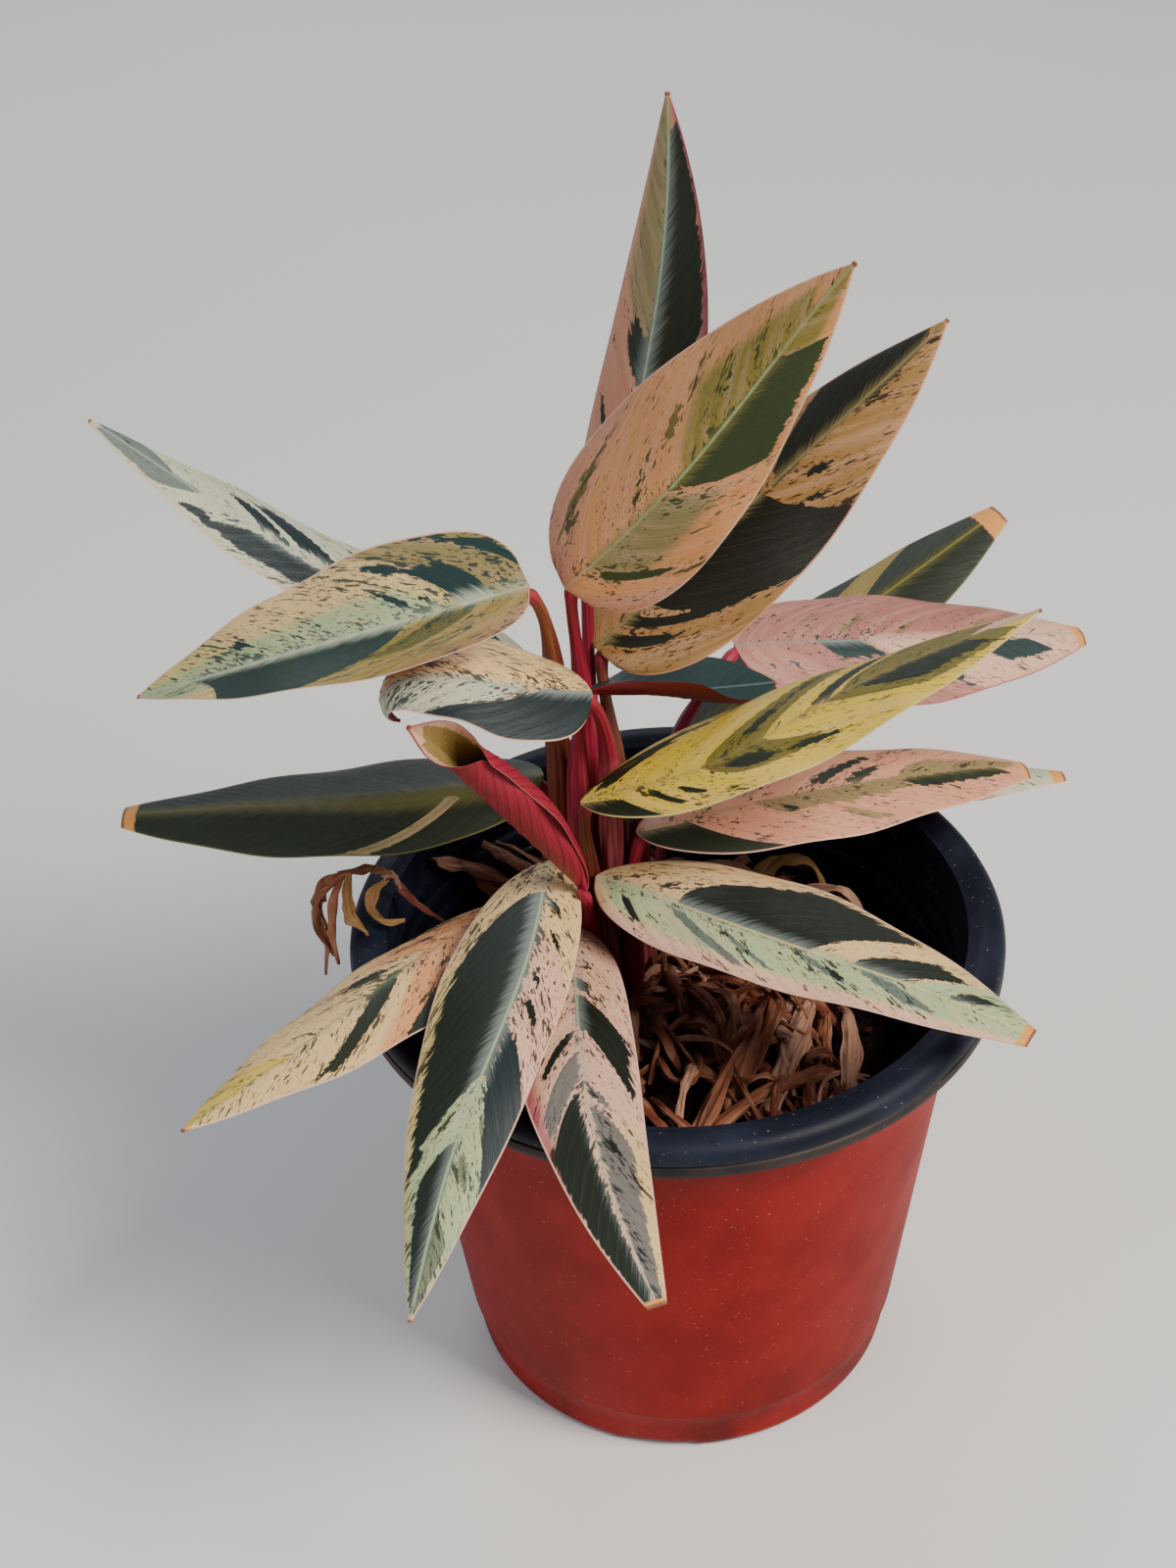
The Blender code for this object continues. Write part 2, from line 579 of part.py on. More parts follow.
def mat_point(litter, share, angle, lift):
    """Return a point of a mat's face: share is 0 at its middle and 1 at its wavy edge."""
    x_centre, y_centre, x_size, y_size = litter.mat
    reach = share * (1.0 + MAT_LOBE * math.sin(3.0 * angle))
    x = x_centre + x_size * reach * math.cos(angle)
    y = y_centre + y_size * reach * math.sin(angle)
    return (x, y, soil_height(x, y) + lift)


def add_face(shape, corners, upwards):
    """Add a face whose corners are given anticlockwise from above, turned over where it looks down."""
    shape.faces.new(corners if upwards else corners[::-1])


def make_mat(litter, collection, material):
    """Build the thin mat that a tangle's strips rise from: two faces that meet at a wavy edge."""
    shape = bmesh.new()
    angles = [2.0 * math.pi * step / MAT_SEGMENTS for step in range(MAT_SEGMENTS)]
    edge = [shape.verts.new(mat_point(litter, 1.0, angle, MAT_LIFT)) for angle in angles]
    for lift, upwards in ((MAT_LIFT, False), (MAT_LIFT + MAT_THICKNESS, True)):
        middle = shape.verts.new(mat_point(litter, 0.0, 0.0, lift))
        rings = []
        for ring in range(1, MAT_RINGS):
            places = [mat_point(litter, ring / MAT_RINGS, angle, lift) for angle in angles]
            rings.append([shape.verts.new(place) for place in places])
        rings.append(edge)
        for step in range(MAT_SEGMENTS):
            after = (step + 1) % MAT_SEGMENTS
            add_face(shape, [middle, rings[0][step], rings[0][after]], upwards)
            for inner, outer in zip(rings[:-1], rings[1:]):
                corners = [inner[step], outer[step], outer[after], inner[after]]
                add_face(shape, corners, upwards)
    bmesh.ops.triangulate(shape, faces=list(shape.faces))
    return add_object("mat", mesh_from_bmesh("mat", shape), collection, material)


def smooth_line(points):
    """Return a smooth line through the given points, as a Catmull-Rom curve."""
    known = np.array(points)
    ends = [2.0 * known[0] - known[1], 2.0 * known[-1] - known[-2]]
    known = np.vstack([ends[0], known, ends[1]])
    line = []
    for index in range(1, len(known) - 2):
        before, start, end, after = known[index - 1:index + 3]
        for step in range(STRIP_STEPS):
            share = step / STRIP_STEPS
            line.append(0.5 * (2.0 * start + (end - before) * share
                               + (2.0 * before - 5.0 * start + 4.0 * end - after) * share ** 2
                               + (3.0 * start - before - 3.0 * end + after) * share ** 3))
    return np.array(line + [known[-2]])


def make_strip(litter, strip, collection, material):
    """Build one dried strip as a flat bar along its line, then turn the curve into a mesh."""
    line = smooth_line(strip.points)
    if litter.mat:
        line[:, 2] += [soil_height(x, y) + MAT_LIFT + 0.5 * MAT_THICKNESS for x, y in line[:, :2]]
    curve = bpy.data.curves.new("strip", "CURVE")
    curve.dimensions = "3D"
    curve.twist_mode = "Z_UP" if litter.mat else "MINIMUM"
    curve.bevel_depth = 0.5 * STRIP_THICKNESS
    curve.bevel_resolution = 0
    curve.extrude = 0.5 * (strip.width - STRIP_THICKNESS)
    curve.use_fill_caps = True
    spline = curve.splines.new("POLY")
    spline.points.add(len(line) - 1)
    shares = np.linspace(0.0, 1.0, len(line))
    for point, place, share in zip(spline.points, line, shares):
        point.co = (*place, 1.0)
        point.tilt = math.radians(90.0 + strip.tilt + strip.turn * share)
        point.radius = 1.0 - (1.0 - STRIP_END_SHARE) * abs(2.0 * share - 1.0) ** 3
    bar = add_object("strip_curve", curve, collection, material)
    return curve_as_mesh(bar, collection, material)


def curve_as_mesh(bar, collection, material):
    """Replace a curve object by a mesh object of the same shape and place."""
    graph = bpy.context.evaluated_depsgraph_get()
    mesh = bpy.data.meshes.new_from_object(bar.evaluated_get(graph))
    shape = bmesh.new()
    shape.from_mesh(mesh)
    bmesh.ops.remove_doubles(shape, verts=shape.verts, dist=0.00001)
    bmesh.ops.recalc_face_normals(shape, faces=shape.faces)
    shape.to_mesh(mesh)
    shape.free()
    mesh.materials.clear()
    solid = add_object("strip", mesh, collection, material)
    solid.matrix_world = bar.matrix_world
    bpy.data.objects.remove(bar, do_unlink=True)
    return solid


def make_knot(place, collection, material):
    """Build one small round knot."""
    shape = bmesh.new()
    bmesh.ops.create_icosphere(shape, subdivisions=1, radius=KNOT_RADIUS)
    bmesh.ops.translate(shape, vec=place, verts=shape.verts)
    return add_object("knot", mesh_from_bmesh("knot", shape), collection, material)


def make_litter(litter, collection, material):
    """Build one tangle: its mat or knots and its strips, joined into one solid."""
    pieces = make_collection("pieces")
    if litter.mat:
        body = make_mat(litter, collection, material)
    else:
        body = make_knot(litter.knots[0], collection, material)
        for place in litter.knots[1:]:
            make_knot(place, pieces, material)
    for strip in litter.strips:
        make_strip(litter, strip, pieces, material)
    body.name = "litter_" + litter.name
    join_pieces(body, pieces)
    return body


def join_pieces(body, pieces):
    """Join a collection's objects to a body with one exact union, then remove them."""
    union = body.modifiers.new("union", "BOOLEAN")
    union.operation = "UNION"
    union.operand_type = "COLLECTION"
    union.collection = pieces
    union.solver = "EXACT"
    bpy.context.view_layer.update()
    graph = bpy.context.evaluated_depsgraph_get()
    joined = bpy.data.meshes.new_from_object(body.evaluated_get(graph))
    body.modifiers.remove(union)
    body.data = joined
    for item in list(pieces.objects):
        bpy.data.objects.remove(item, do_unlink=True)
    bpy.data.collections.remove(pieces)


def main():
    """Build the pot, the soil, the litter, and each leaf's blade and stalk."""
    clear_scene()
    parts = make_collection("potted_stromanthe")
    cutters = make_collection("cutters")
    plastic = make_material("pot_plastic", (0.42, 0.045, 0.018), 0.55)
    earth = make_material("soil", (0.028, 0.018, 0.013), 0.95)
    dry = make_material("dried_leaf", (0.22, 0.10, 0.05), 0.80)
    leafy = make_material("leaf", (0.30, 0.33, 0.20), 0.45)
    stalky = make_material("stalk", (0.30, 0.035, 0.04), 0.50)
    make_pot(parts, cutters, plastic)
    make_soil(parts, cutters, earth)
    for litter in LITTER:
        make_litter(litter, parts, dry)
    for leaf in LEAVES:
        make_blade(leaf, parts, leafy)
        make_stalk(leaf, parts, stalky)


main()
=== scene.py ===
"""Potted stromanthe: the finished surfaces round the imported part, its stage, light and camera.

Lengths are in metres and angles in degrees, in the part's own frame: the origin is the middle of
the pot's underside, +Z is up, and the camera looks along +Y. Values that a material reads at each
point of a piece are in millimetres.
"""

import logging
import math
from dataclasses import dataclass
from enum import Enum

import bpy
import numpy as np
from bpy.types import NodeSocket
from mathutils import Matrix


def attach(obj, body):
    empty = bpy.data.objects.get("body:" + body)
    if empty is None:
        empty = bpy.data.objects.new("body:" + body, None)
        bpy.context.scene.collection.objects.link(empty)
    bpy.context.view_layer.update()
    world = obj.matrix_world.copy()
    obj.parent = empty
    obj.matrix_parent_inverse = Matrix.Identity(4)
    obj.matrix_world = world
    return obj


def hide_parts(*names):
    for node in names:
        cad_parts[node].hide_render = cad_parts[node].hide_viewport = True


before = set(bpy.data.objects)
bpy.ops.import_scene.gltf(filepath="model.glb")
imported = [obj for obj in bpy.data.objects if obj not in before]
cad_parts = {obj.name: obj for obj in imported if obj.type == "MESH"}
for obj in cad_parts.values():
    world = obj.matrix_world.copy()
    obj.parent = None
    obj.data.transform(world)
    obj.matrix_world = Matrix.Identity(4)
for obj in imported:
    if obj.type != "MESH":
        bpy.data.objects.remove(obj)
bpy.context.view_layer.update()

LOG = logging.getLogger("potted_stromanthe")
BODY = "root"
MM = 1000.0
LITTER_SEED_STEP = 400


class Tint(Enum):
    """Colours from 0 to 255, before the light and the view's tone curve. Most are the object's own; a
    few hold painted light or shade, as noted where they are used.
    """

    CREAM = (222, 188, 128)
    PEACH = (214, 146, 92)
    SALMON = (204, 140, 110)
    ROSE = (164, 84, 88)
    MAUVE = (164, 108, 98)
    BLUSH = (220, 174, 148)
    BUTTER = (214, 184, 62)
    STRAW = (212, 192, 116)
    MINT = (166, 182, 134)
    FROST = (184, 192, 164)
    MIST = (126, 134, 130)
    STEEL = (84, 98, 98)
    SAGE = (96, 107, 75)
    KHAKI = (138, 124, 78)
    BRASS = (140, 122, 50)
    OLIVE = (92, 88, 30)
    TAN = (152, 114, 66)
    FERN = (46, 56, 18)
    FOREST = (22, 28, 8)
    BOTTLE = (11, 19, 16)
    TEAL = (16, 44, 46)
    SLATE = (20, 34, 42)
    UMBER = (16, 10, 6)
    MAGENTA = (152, 34, 58)
    WINE = (92, 14, 26)
    RUST = (110, 54, 36)
    BARK = (132, 80, 54)
    FAWN = (180, 134, 110)
    CUT = (216, 146, 72)
    VEIN = (54, 8, 16)
    DIM = (206, 186, 164)
    DARK_BLOTCH = (74, 36, 22)
    DARK_FIBRE = (58, 28, 18)
    POT_RED = (138, 14, 2)
    POT_DEEP_RED = (122, 10, 2)
    # The two pot blacks are blue-grey and paler than black plastic: painted sheen of sky light on the
    # rim, and painted light on the shaded inside. The second one is the paler.
    POT_BLACK = (24, 27, 38)
    POT_PALE_SHEEN_BLACK = (36, 40, 54)
    POT_BROWN = (60, 50, 46)
    POT_DARK_BROWN = (36, 34, 38)
    SCUFF = (60, 22, 14)
    SPECK = (196, 160, 144)
    PEAT = (10, 7, 6)
    BROWN_PEAT = (44, 28, 20)
    RED_PEAT = (56, 28, 16)
    DARK_CRUMB = (12, 8, 7)
    BARK_CRUMB = (78, 40, 22)
    CRUMB_SHADE = (14, 10, 8)
    GRIT = (166, 146, 124)
    MOSS = (132, 124, 20)
    FLOOR = (214, 212, 208)
    PALE_FLOOR = (222, 220, 216)


def linear(tint: Tint) -> np.ndarray:
    """Return a screen colour as the linear light that materials use.

    Args:
        tint: a named colour.

    Returns:
        Three numbers from 0 to 1: each share of 255 is raised to the power 2.2.
    """
    return (np.array(tint.value, float) / 255.0) ** 2.2


def step_up(value: np.ndarray, low: float, high: float) -> np.ndarray:
    """Return a smooth step of an array: 0 below low, 1 above high, 3t² - 2t³ between."""
    share = np.clip((value - low) / (high - low), 0.0, 1.0)
    return share * share * (3.0 - 2.0 * share)


def put(name: str, data: bpy.types.ID) -> bpy.types.Object:
    """Return a new object that shows a mesh, a camera or a light, put in the scene."""
    item = bpy.data.objects.new(name, data)
    bpy.context.scene.collection.objects.link(item)
    return item


@dataclass
class Surface:
    """A mesh in the making: its points, its faces, and the values at its points.

    faces is a list of arrays, each with one face a row, so that a list may hold both triangles and
    quads. values holds one number or three a point, by name.
    """

    points: np.ndarray
    faces: list[np.ndarray]
    values: dict[str, np.ndarray]

    @staticmethod
    def joined(parts: list["Surface"]) -> "Surface":
        """Return one surface that holds every given one.

        Args:
            parts: surfaces that carry the same named values.

        Returns:
            The points one after another, with each part's faces moved on past the points before it.
        """
        counts = [len(part.points) for part in parts]
        starts = np.concatenate([[0], np.cumsum(counts)[:-1]])
        faces = [face + start for part, start in zip(parts, starts) for face in part.faces]
        names = parts[0].values
        values = {name: np.concatenate([part.values[name] for part in parts]) for name in names}
        return Surface(np.concatenate([part.points for part in parts]), faces, values)

    def to_mesh(self, name: str) -> bpy.types.Mesh:
        """Return a mesh with the points and faces alone."""
        mesh = bpy.data.meshes.new(name)
        corners = [row for faces in self.faces for row in faces.tolist()]
        mesh.from_pydata(self.points.tolist(), [], corners)
        return mesh

    def to_object(self, name: str, material: bpy.types.Material, slot: str,
                  crease: float = 50.0) -> bpy.types.Object:
        """Put the surface into a mesh object that rides on the part.

        Args:
            name: the new piece's name.
            material: its finish.
            slot: not used; it names the record's material slot that the finish belongs to.
            crease: edges whose faces meet at more than this angle stay sharp.

        Returns:
            The new object, at the origin, with its place in its mesh.
        """
        mesh = self.to_mesh(name)
        for key, value in self.values.items():
            kind, field = ("FLOAT", "value") if value.ndim == 1 else ("FLOAT_VECTOR", "vector")
            store = mesh.attributes.new(key, kind, "POINT")
            store.data.foreach_set(field, value.astype(np.float32).ravel())
        mesh.polygons.foreach_set("use_smooth", [True] * len(mesh.polygons))
        mesh.set_sharp_from_angle(angle=math.radians(crease))
        mesh.materials.append(material)
        mesh.update()
        piece = put(name, mesh)
        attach(piece, BODY)
        LOG.info("%s: %d points, %d faces", name, len(mesh.vertices), len(mesh.polygons))
        return piece


def grid_faces(rows: int, columns: int, closed: bool = False) -> np.ndarray:
    """Return the quads of a grid of points that is stored row after row.

    Args:
        rows: how many rows of points there are.
        columns: how many points there are in a row.
        closed: whether the last point of each row joins the first.

    Returns:
        An array with four point numbers a quad. Seen from the front, a row runs to the right and
        the next row lies above it.
    """
    row = np.arange(rows - 1)[:, None] * columns
    column = np.arange(columns if closed else columns - 1)[None, :]
    after = (column + 1) % columns
    quads = [row + column, row + after, row + columns + after, row + columns + column]
    return np.stack(quads, axis=-1).reshape(-1, 4)


def tube(rings: np.ndarray, values: dict[str, np.ndarray]) -> Surface:
    """Return a closed tube: rings of points, capped by a fan at each end.

    Args:
        rings: points of shape rings, points round, 3, anticlockwise as seen against the path.
        values: arrays of shape rings, points round, with three numbers or one.

    Returns:
        A closed surface whose two last points are the middles of the caps.
    """
    count, round_ = rings.shape[:2]
    middles = np.stack([rings[0].mean(axis=0), rings[-1].mean(axis=0)])
    points = np.concatenate([rings.reshape(-1, 3), middles])
    spot = np.arange(round_)
    after = (spot + 1) % round_
    last = (count - 1) * round_
    start = np.stack([np.full(round_, count * round_), after, spot], axis=1)
    end = np.stack([np.full(round_, count * round_ + 1), last + spot, last + after], axis=1)
    kept = {}
    for name, value in values.items():
        ends = np.stack([value[0].mean(axis=0), value[-1].mean(axis=0)])
        kept[name] = np.concatenate([value.reshape(count * round_, *value.shape[2:]), ends])
    return Surface(points, [grid_faces(count, round_, closed=True), start, end], kept)


def cross_frames(path: np.ndarray) -> tuple[np.ndarray, np.ndarray, np.ndarray]:
    """Return frames along a path that turn as little as they can.

    Args:
        path: points of shape n, 3.

    Returns:
        The unit direction, side and up vector at each point. Each side vector is the one before
        it with the new direction's part taken out.
    """
    forward = np.gradient(path, axis=0)
    forward /= np.linalg.norm(forward, axis=1, keepdims=True)
    first = np.cross(forward[0], (0.0, 1.0, 0.0))
    if np.linalg.norm(first) < 0.1:
        first = np.cross(forward[0], (1.0, 0.0, 0.0))
    sides = [first / np.linalg.norm(first)]
    for way in forward[1:]:
        side = sides[-1] - way * np.dot(sides[-1], way)
        sides.append(side / np.linalg.norm(side))
    side = np.array(sides)
    return forward, side, np.cross(forward, side)


def smooth_line(points: tuple, steps: int) -> np.ndarray:
    """Return a Catmull-Rom curve through points.

    Args:
        points: the places that the line passes through.
        steps: how many pieces each span is cut into.

    Returns:
        Points of shape n, 3 from the first place to the last. Between two places it is the cubic
        whose slope at each is half the way between its neighbours.
    """
    known = np.array(points, float)
    known = np.vstack([2.0 * known[0] - known[1], known, 2.0 * known[-1] - known[-2]])
    before, start, end, after = known[:-3], known[1:-2], known[2:-1], known[3:]
    share = np.arange(steps)[None, :, None] / steps
    before, start, end, after = (part[:, None, :] for part in (before, start, end, after))
    line = 0.5 * (2.0 * start + (end - before) * share
                  + (2.0 * before - 5.0 * start + 4.0 * end - after) * share ** 2
                  + (3.0 * start - before - 3.0 * end + after) * share ** 3)
    return np.vstack([line.reshape(-1, 3), known[-2]])


def ripples(x: np.ndarray, y: np.ndarray, seed: int, longest: float, shortest: float,
            count: int = 28) -> np.ndarray:
    """Return an uneven height: a sum of plane waves in random directions.

    Args:
        x: places along X, in metres.
        y: places along Y, in metres.
        seed: the start of the random numbers.
        longest: the longest wave, in metres.
        shortest: the shortest wave, in metres.
        count: how many waves there are.

    Returns:
        Heights of about -1 to 1. Each wave's height falls with its length.
    """
    rng = np.random.default_rng(seed)
    lengths = longest * (shortest / longest) ** rng.random(count)
    ways = rng.random(count) * 2.0 * math.pi
    starts = rng.random(count) * 2.0 * math.pi
    total = np.zeros(np.broadcast(x, y).shape)
    for length, way, start in zip(lengths, ways, starts):
        place = (x * math.cos(way) + y * math.sin(way)) / length
        total += (length / longest) ** 0.8 * np.sin(2.0 * math.pi * place + start)
    return total / math.sqrt(0.5 * count)


class Nodes:
    """A material's node tree, with one short method for each kind of node that is used."""

    def __init__(self, name: str) -> None:
        """Make a material whose tree holds only a Principled shader and the output."""
        self.material = bpy.data.materials.new(name)
        self.material.use_nodes = True
        self.tree = self.material.node_tree
        self.shader = self.tree.nodes["Principled BSDF"]

    def new(self, kind: str, **settings: object) -> bpy.types.Node:
        """Return a new node of a kind, with its settings set."""
        node = self.tree.nodes.new(kind)
        for key, value in settings.items():
            setattr(node, key, value)
        return node

    def feed(self, socket: NodeSocket, value: object) -> None:
        """Link a socket to another one, or set its number, vector or named colour."""
        if isinstance(value, NodeSocket):
            self.tree.links.new(value, socket)
        elif isinstance(value, Tint):
            socket.default_value = (*linear(value), 1.0)
        else:
            socket.default_value = value

    def attribute(self, name: str) -> bpy.types.Node:
        """Return a node that reads a value kept at the mesh's points."""
        return self.new("ShaderNodeAttribute", attribute_name=name)

    def apart(self, vector: NodeSocket) -> bpy.types.NodeOutputs:
        """Return the three numbers of a vector."""
        node = self.new("ShaderNodeSeparateXYZ")
        self.feed(node.inputs[0], vector)
        return node.outputs

    def vector(self, x: object, y: object, z: object = 0.0) -> NodeSocket:
        """Return three numbers as a vector."""
        node = self.new("ShaderNodeCombineXYZ")
        for socket, value in zip(node.inputs, (x, y, z)):
            self.feed(socket, value)
        return node.outputs[0]

    def place(self) -> NodeSocket:
        """Return the place on the object, in metres."""
        return self.new("ShaderNodeTexCoord").outputs["Object"]

    def stretched(self, cells: tuple[float, float]) -> NodeSocket:
        """Return the place kept as grain at the mesh's points, times cells along and across."""
        along, across, seed = self.apart(self.attribute("grain").outputs["Vector"])
        return self.vector(self.sum("MULTIPLY", along, cells[0]),
                           self.sum("MULTIPLY", across, cells[1]), seed)

    def sum(self, operation: str, first: object, second: object = 0.0,
            third: object = 0.0) -> NodeSocket:
        """Return the result of a Math node, such as ADD or MULTIPLY_ADD."""
        node = self.new("ShaderNodeMath", operation=operation)
        for socket, value in zip(node.inputs, (first, second, third)):
            self.feed(socket, value)
        return node.outputs[0]

    def step(self, value: object, low: float, high: float, start: float = 0.0,
             end: float = 1.0) -> NodeSocket:
        """Return a smooth step from start to end while the value goes from low to high."""
        node = self.new("ShaderNodeMapRange", interpolation_type="SMOOTHSTEP")
        for socket, number in zip(node.inputs, (value, low, high, start, end)):
            self.feed(socket, number)
        return node.outputs[0]

    def noise(self, vector: NodeSocket, scale: float = 1.0, detail: float = 2.0,
              roughness: float = 0.5) -> NodeSocket:
        """Return noise at a place.

        Args:
            vector: the place.
            scale: cells for each unit of the place.
            detail: how many finer layers are added.
            roughness: how strong each finer layer is.

        Returns:
            A number from 0 to 1.
        """
        node = self.new("ShaderNodeTexNoise")
        self.feed(node.inputs["Vector"], vector)
        self.feed(node.inputs["Scale"], scale)
        self.feed(node.inputs["Detail"], detail)
        self.feed(node.inputs["Roughness"], roughness)
        return node.outputs["Fac"]

    def mix(self, share: object, first: object, second: object,
            blend: str = "MIX") -> NodeSocket:
        """Return two colours mixed.

        Args:
            share: how far the second colour is laid on, from 0 to 1.
            first: the colour below.
            second: the colour on top.
            blend: how the two are joined, such as MIX or MULTIPLY.

        Returns:
            The mixed colour.
        """
        node = self.new("ShaderNodeMix", data_type="RGBA", blend_type=blend)
        self.feed(node.inputs["Factor"], share)
        self.feed(node.inputs[6], first)
        self.feed(node.inputs[7], second)
        return node.outputs[2]

    def bump(self, height: NodeSocket, distance: float, strength: float = 1.0,
             under: NodeSocket | None = None) -> NodeSocket:
        """Return a normal that a height has turned.

        Args:
            height: the height, from 0 to 1.
            distance: how high 1 stands, in metres.
            strength: how much of the turn is kept.
            under: the normal below this one.

        Returns:
            The turned normal.
        """
        node = self.new("ShaderNodeBump")
        self.feed(node.inputs["Height"], height)
        self.feed(node.inputs["Distance"], distance)
        self.feed(node.inputs["Strength"], strength)
        if under is not None:
            self.feed(node.inputs["Normal"], under)
        return node.outputs[0]

    def finish(self, colour: object, roughness: object, normal: NodeSocket | None = None,
               **settings: float) -> bpy.types.Material:
        """Feed the shader and return the material.

        Args:
            colour: the base colour.
            roughness: one number, or a socket where it varies.
            normal: the bumped normal.
            settings: the shader's other inputs by name, with _ for a space.

        Returns:
            The finished material.
        """
        self.feed(self.shader.inputs["Base Color"], colour)
        self.feed(self.shader.inputs["Roughness"], roughness)
        if normal is not None:
            self.feed(self.shader.inputs["Normal"], normal)
        for key, value in settings.items():
            self.shader.inputs[key.replace("_", " ")].default_value = value
        return self.material


@dataclass(frozen=True)
class LeafForm:
    """How one leaf grows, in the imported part's own numbers. The rolled leaf alone curls further here.

    base is where the midrib starts. heading is its compass there, 0 along +X and 90 along +Y, and
    swing is how far it turns by the tip. rise is its slope there, and arch is how far it falls by
    the tip: late, where droop is above 1. roll lifts the right half, and twist adds to it. fold
    and curl hold a left and a right angle: each half's slope beside the midrib, and what its margin
    adds. cut is the share of the outline that a trimmed tip leaves, fullness how far back the
    blade is widest, and wave the height of the margin's waves. stand is where the stalk enters the
    soil, and leave the height where it bends away. opening is the share of the curl that is lost
    towards the tip, and turned how far a rolled blade is turned about the middle of its roll.
    """

    base: tuple[float, float, float]
    length: float
    width: float
    heading: float
    rise: float
    stand: tuple[float, float]
    leave: float
    arch: float = 20.0
    droop: float = 1.0
    swing: float = 0.0
    roll: float = 0.0
    twist: float = 0.0
    fold: tuple[float, float] = (-6.0, -6.0)
    curl: tuple[float, float] = (-20.0, -20.0)
    cut: float = 1.0
    fullness: float = 0.5
    wave: float = 0.0006
    opening: float = 0.0
    turned: float = 0.0


FORMS: dict[str, LeafForm] = {
    "top": LeafForm((-0.019, 0.028, 0.212), 0.121, 0.030, 16, 66, (-0.0182, 0.0177), 0.150,
        arch=-27, roll=-70, fold=(-30, -6), curl=(-30, 70)),
    "centre": LeafForm((-0.0235, 0.009, 0.2245), 0.109, 0.040, -20, 56, (-0.0205, 0.0125), 0.185,
        arch=4, roll=-70, fullness=0.35),
    "back_right": LeafForm((-0.017, 0.022, 0.1985), 0.111, 0.041, 19, 36, (-0.0135, 0.0180), 0.165,
        arch=-3, roll=-25, fullness=0.4),
    "far_left": LeafForm((-0.033, 0.032, 0.189), 0.118, 0.032, 170, 27, (-0.0225, 0.0177), 0.150,
        arch=-8),
    "left": LeafForm((-0.0315, 0.002, 0.230), 0.105, 0.039, 187, -14, (-0.0271, 0.0130), 0.195,
        arch=15, swing=-36, roll=18, fold=(18, 22), curl=(5, 5), fullness=0.35),
    "small_left": LeafForm((-0.0185, -0.0065, 0.206), 0.062, 0.036, 183, 23, (-0.0150, 0.0062),
        0.170, arch=190, droop=4, roll=3, fullness=0.4),
    "dark_right": LeafForm((-0.0195, 0.002, 0.2008), 0.063, 0.031, 37, -26, (-0.0225, 0.0080),
        0.170, arch=-6, roll=20, twist=-60, fold=(-4, 4), curl=(-15, 55), fullness=0.8),
    "striped_right": LeafForm((0.003, 0.067, 0.1342), 0.109, 0.035, 26.5, 23.5, (-0.0045, 0.0190),
        0.103, arch=2, roll=-8, cut=0.93),
    "pink_right": LeafForm((0.0175, 0.048, 0.180), 0.107, 0.040, 22, -12, (-0.0085, 0.0128), 0.140,
        arch=6, roll=-17, cut=0.95),
    "sunlit_right": LeafForm((-0.022, -0.007, 0.1755), 0.114, 0.035, 2, 23, (-0.0205, 0.0040),
        0.140, arch=-2, roll=-12, twist=14, fold=(-8, 8), fullness=0.65),
    "salmon_right": LeafForm((-0.009, 0.004, 0.157), 0.105, 0.036, 17, 11, (-0.0110, 0.0030),
        0.120, arch=31, cut=0.94, fullness=0.6),
    "pale_right": LeafForm((-0.008, 0.030, 0.136), 0.114, 0.028, 10, 12, (-0.0125, 0.0225), 0.108,
        arch=26, roll=3, cut=0.95),
    "front_right": LeafForm((-0.019, -0.002, 0.149), 0.113, 0.034, -31, 13, (-0.0165, 0.0005),
        0.120, arch=30, roll=-7, cut=0.95),
    "low_left": LeafForm((-0.031, 0.020, 0.163), 0.107, 0.034, 175, -10, (-0.0300, 0.0170), 0.135,
        arch=-5, roll=7, cut=0.93),
    "rolled": LeafForm((-0.0217, -0.0108, 0.1513), 0.089, 0.033, 223, 57, (-0.0210, -0.0015),
        0.125, arch=0, roll=-30, fold=(12, 12), curl=(176, 150), fullness=0.7, opening=0.7,
        turned=105),
    "front_left": LeafForm((-0.040, -0.001, 0.141), 0.105, 0.034, 227, 5, (-0.0345, 0.0050), 0.122,
        arch=6, roll=-10),
    "front": LeafForm((-0.030, 0.002, 0.151), 0.126, 0.031, 254, 7, (-0.0300, 0.0090), 0.125,
        arch=44, fold=(0, -6)),
    "front_middle": LeafForm((-0.0245, -0.003, 0.134), 0.121, 0.028, 263, 14, (-0.0260, 0.0042),
        0.110, arch=31, swing=28, fold=(-4, 4), curl=(-8, -8), cut=0.95),
}


@dataclass(frozen=True)
class Patch:
    """A stretch of one half of a blade that lies between two side veins.

    side is -1 for the left half and 1 for the right one. start and end are the shares of the
    midrib where the two veins leave it, and inner and outer the shares of the way to the margin.
    drift is how far both borders move along by the margin, and spread how far the upper one moves
    beyond that. tint is the patch's colour, and None keeps the leaf's own.
    """

    side: int
    start: float
    end: float
    inner: float = 0.0
    outer: float = 1.1
    drift: float = 0.0
    spread: float = 0.0
    tint: Tint | None = None


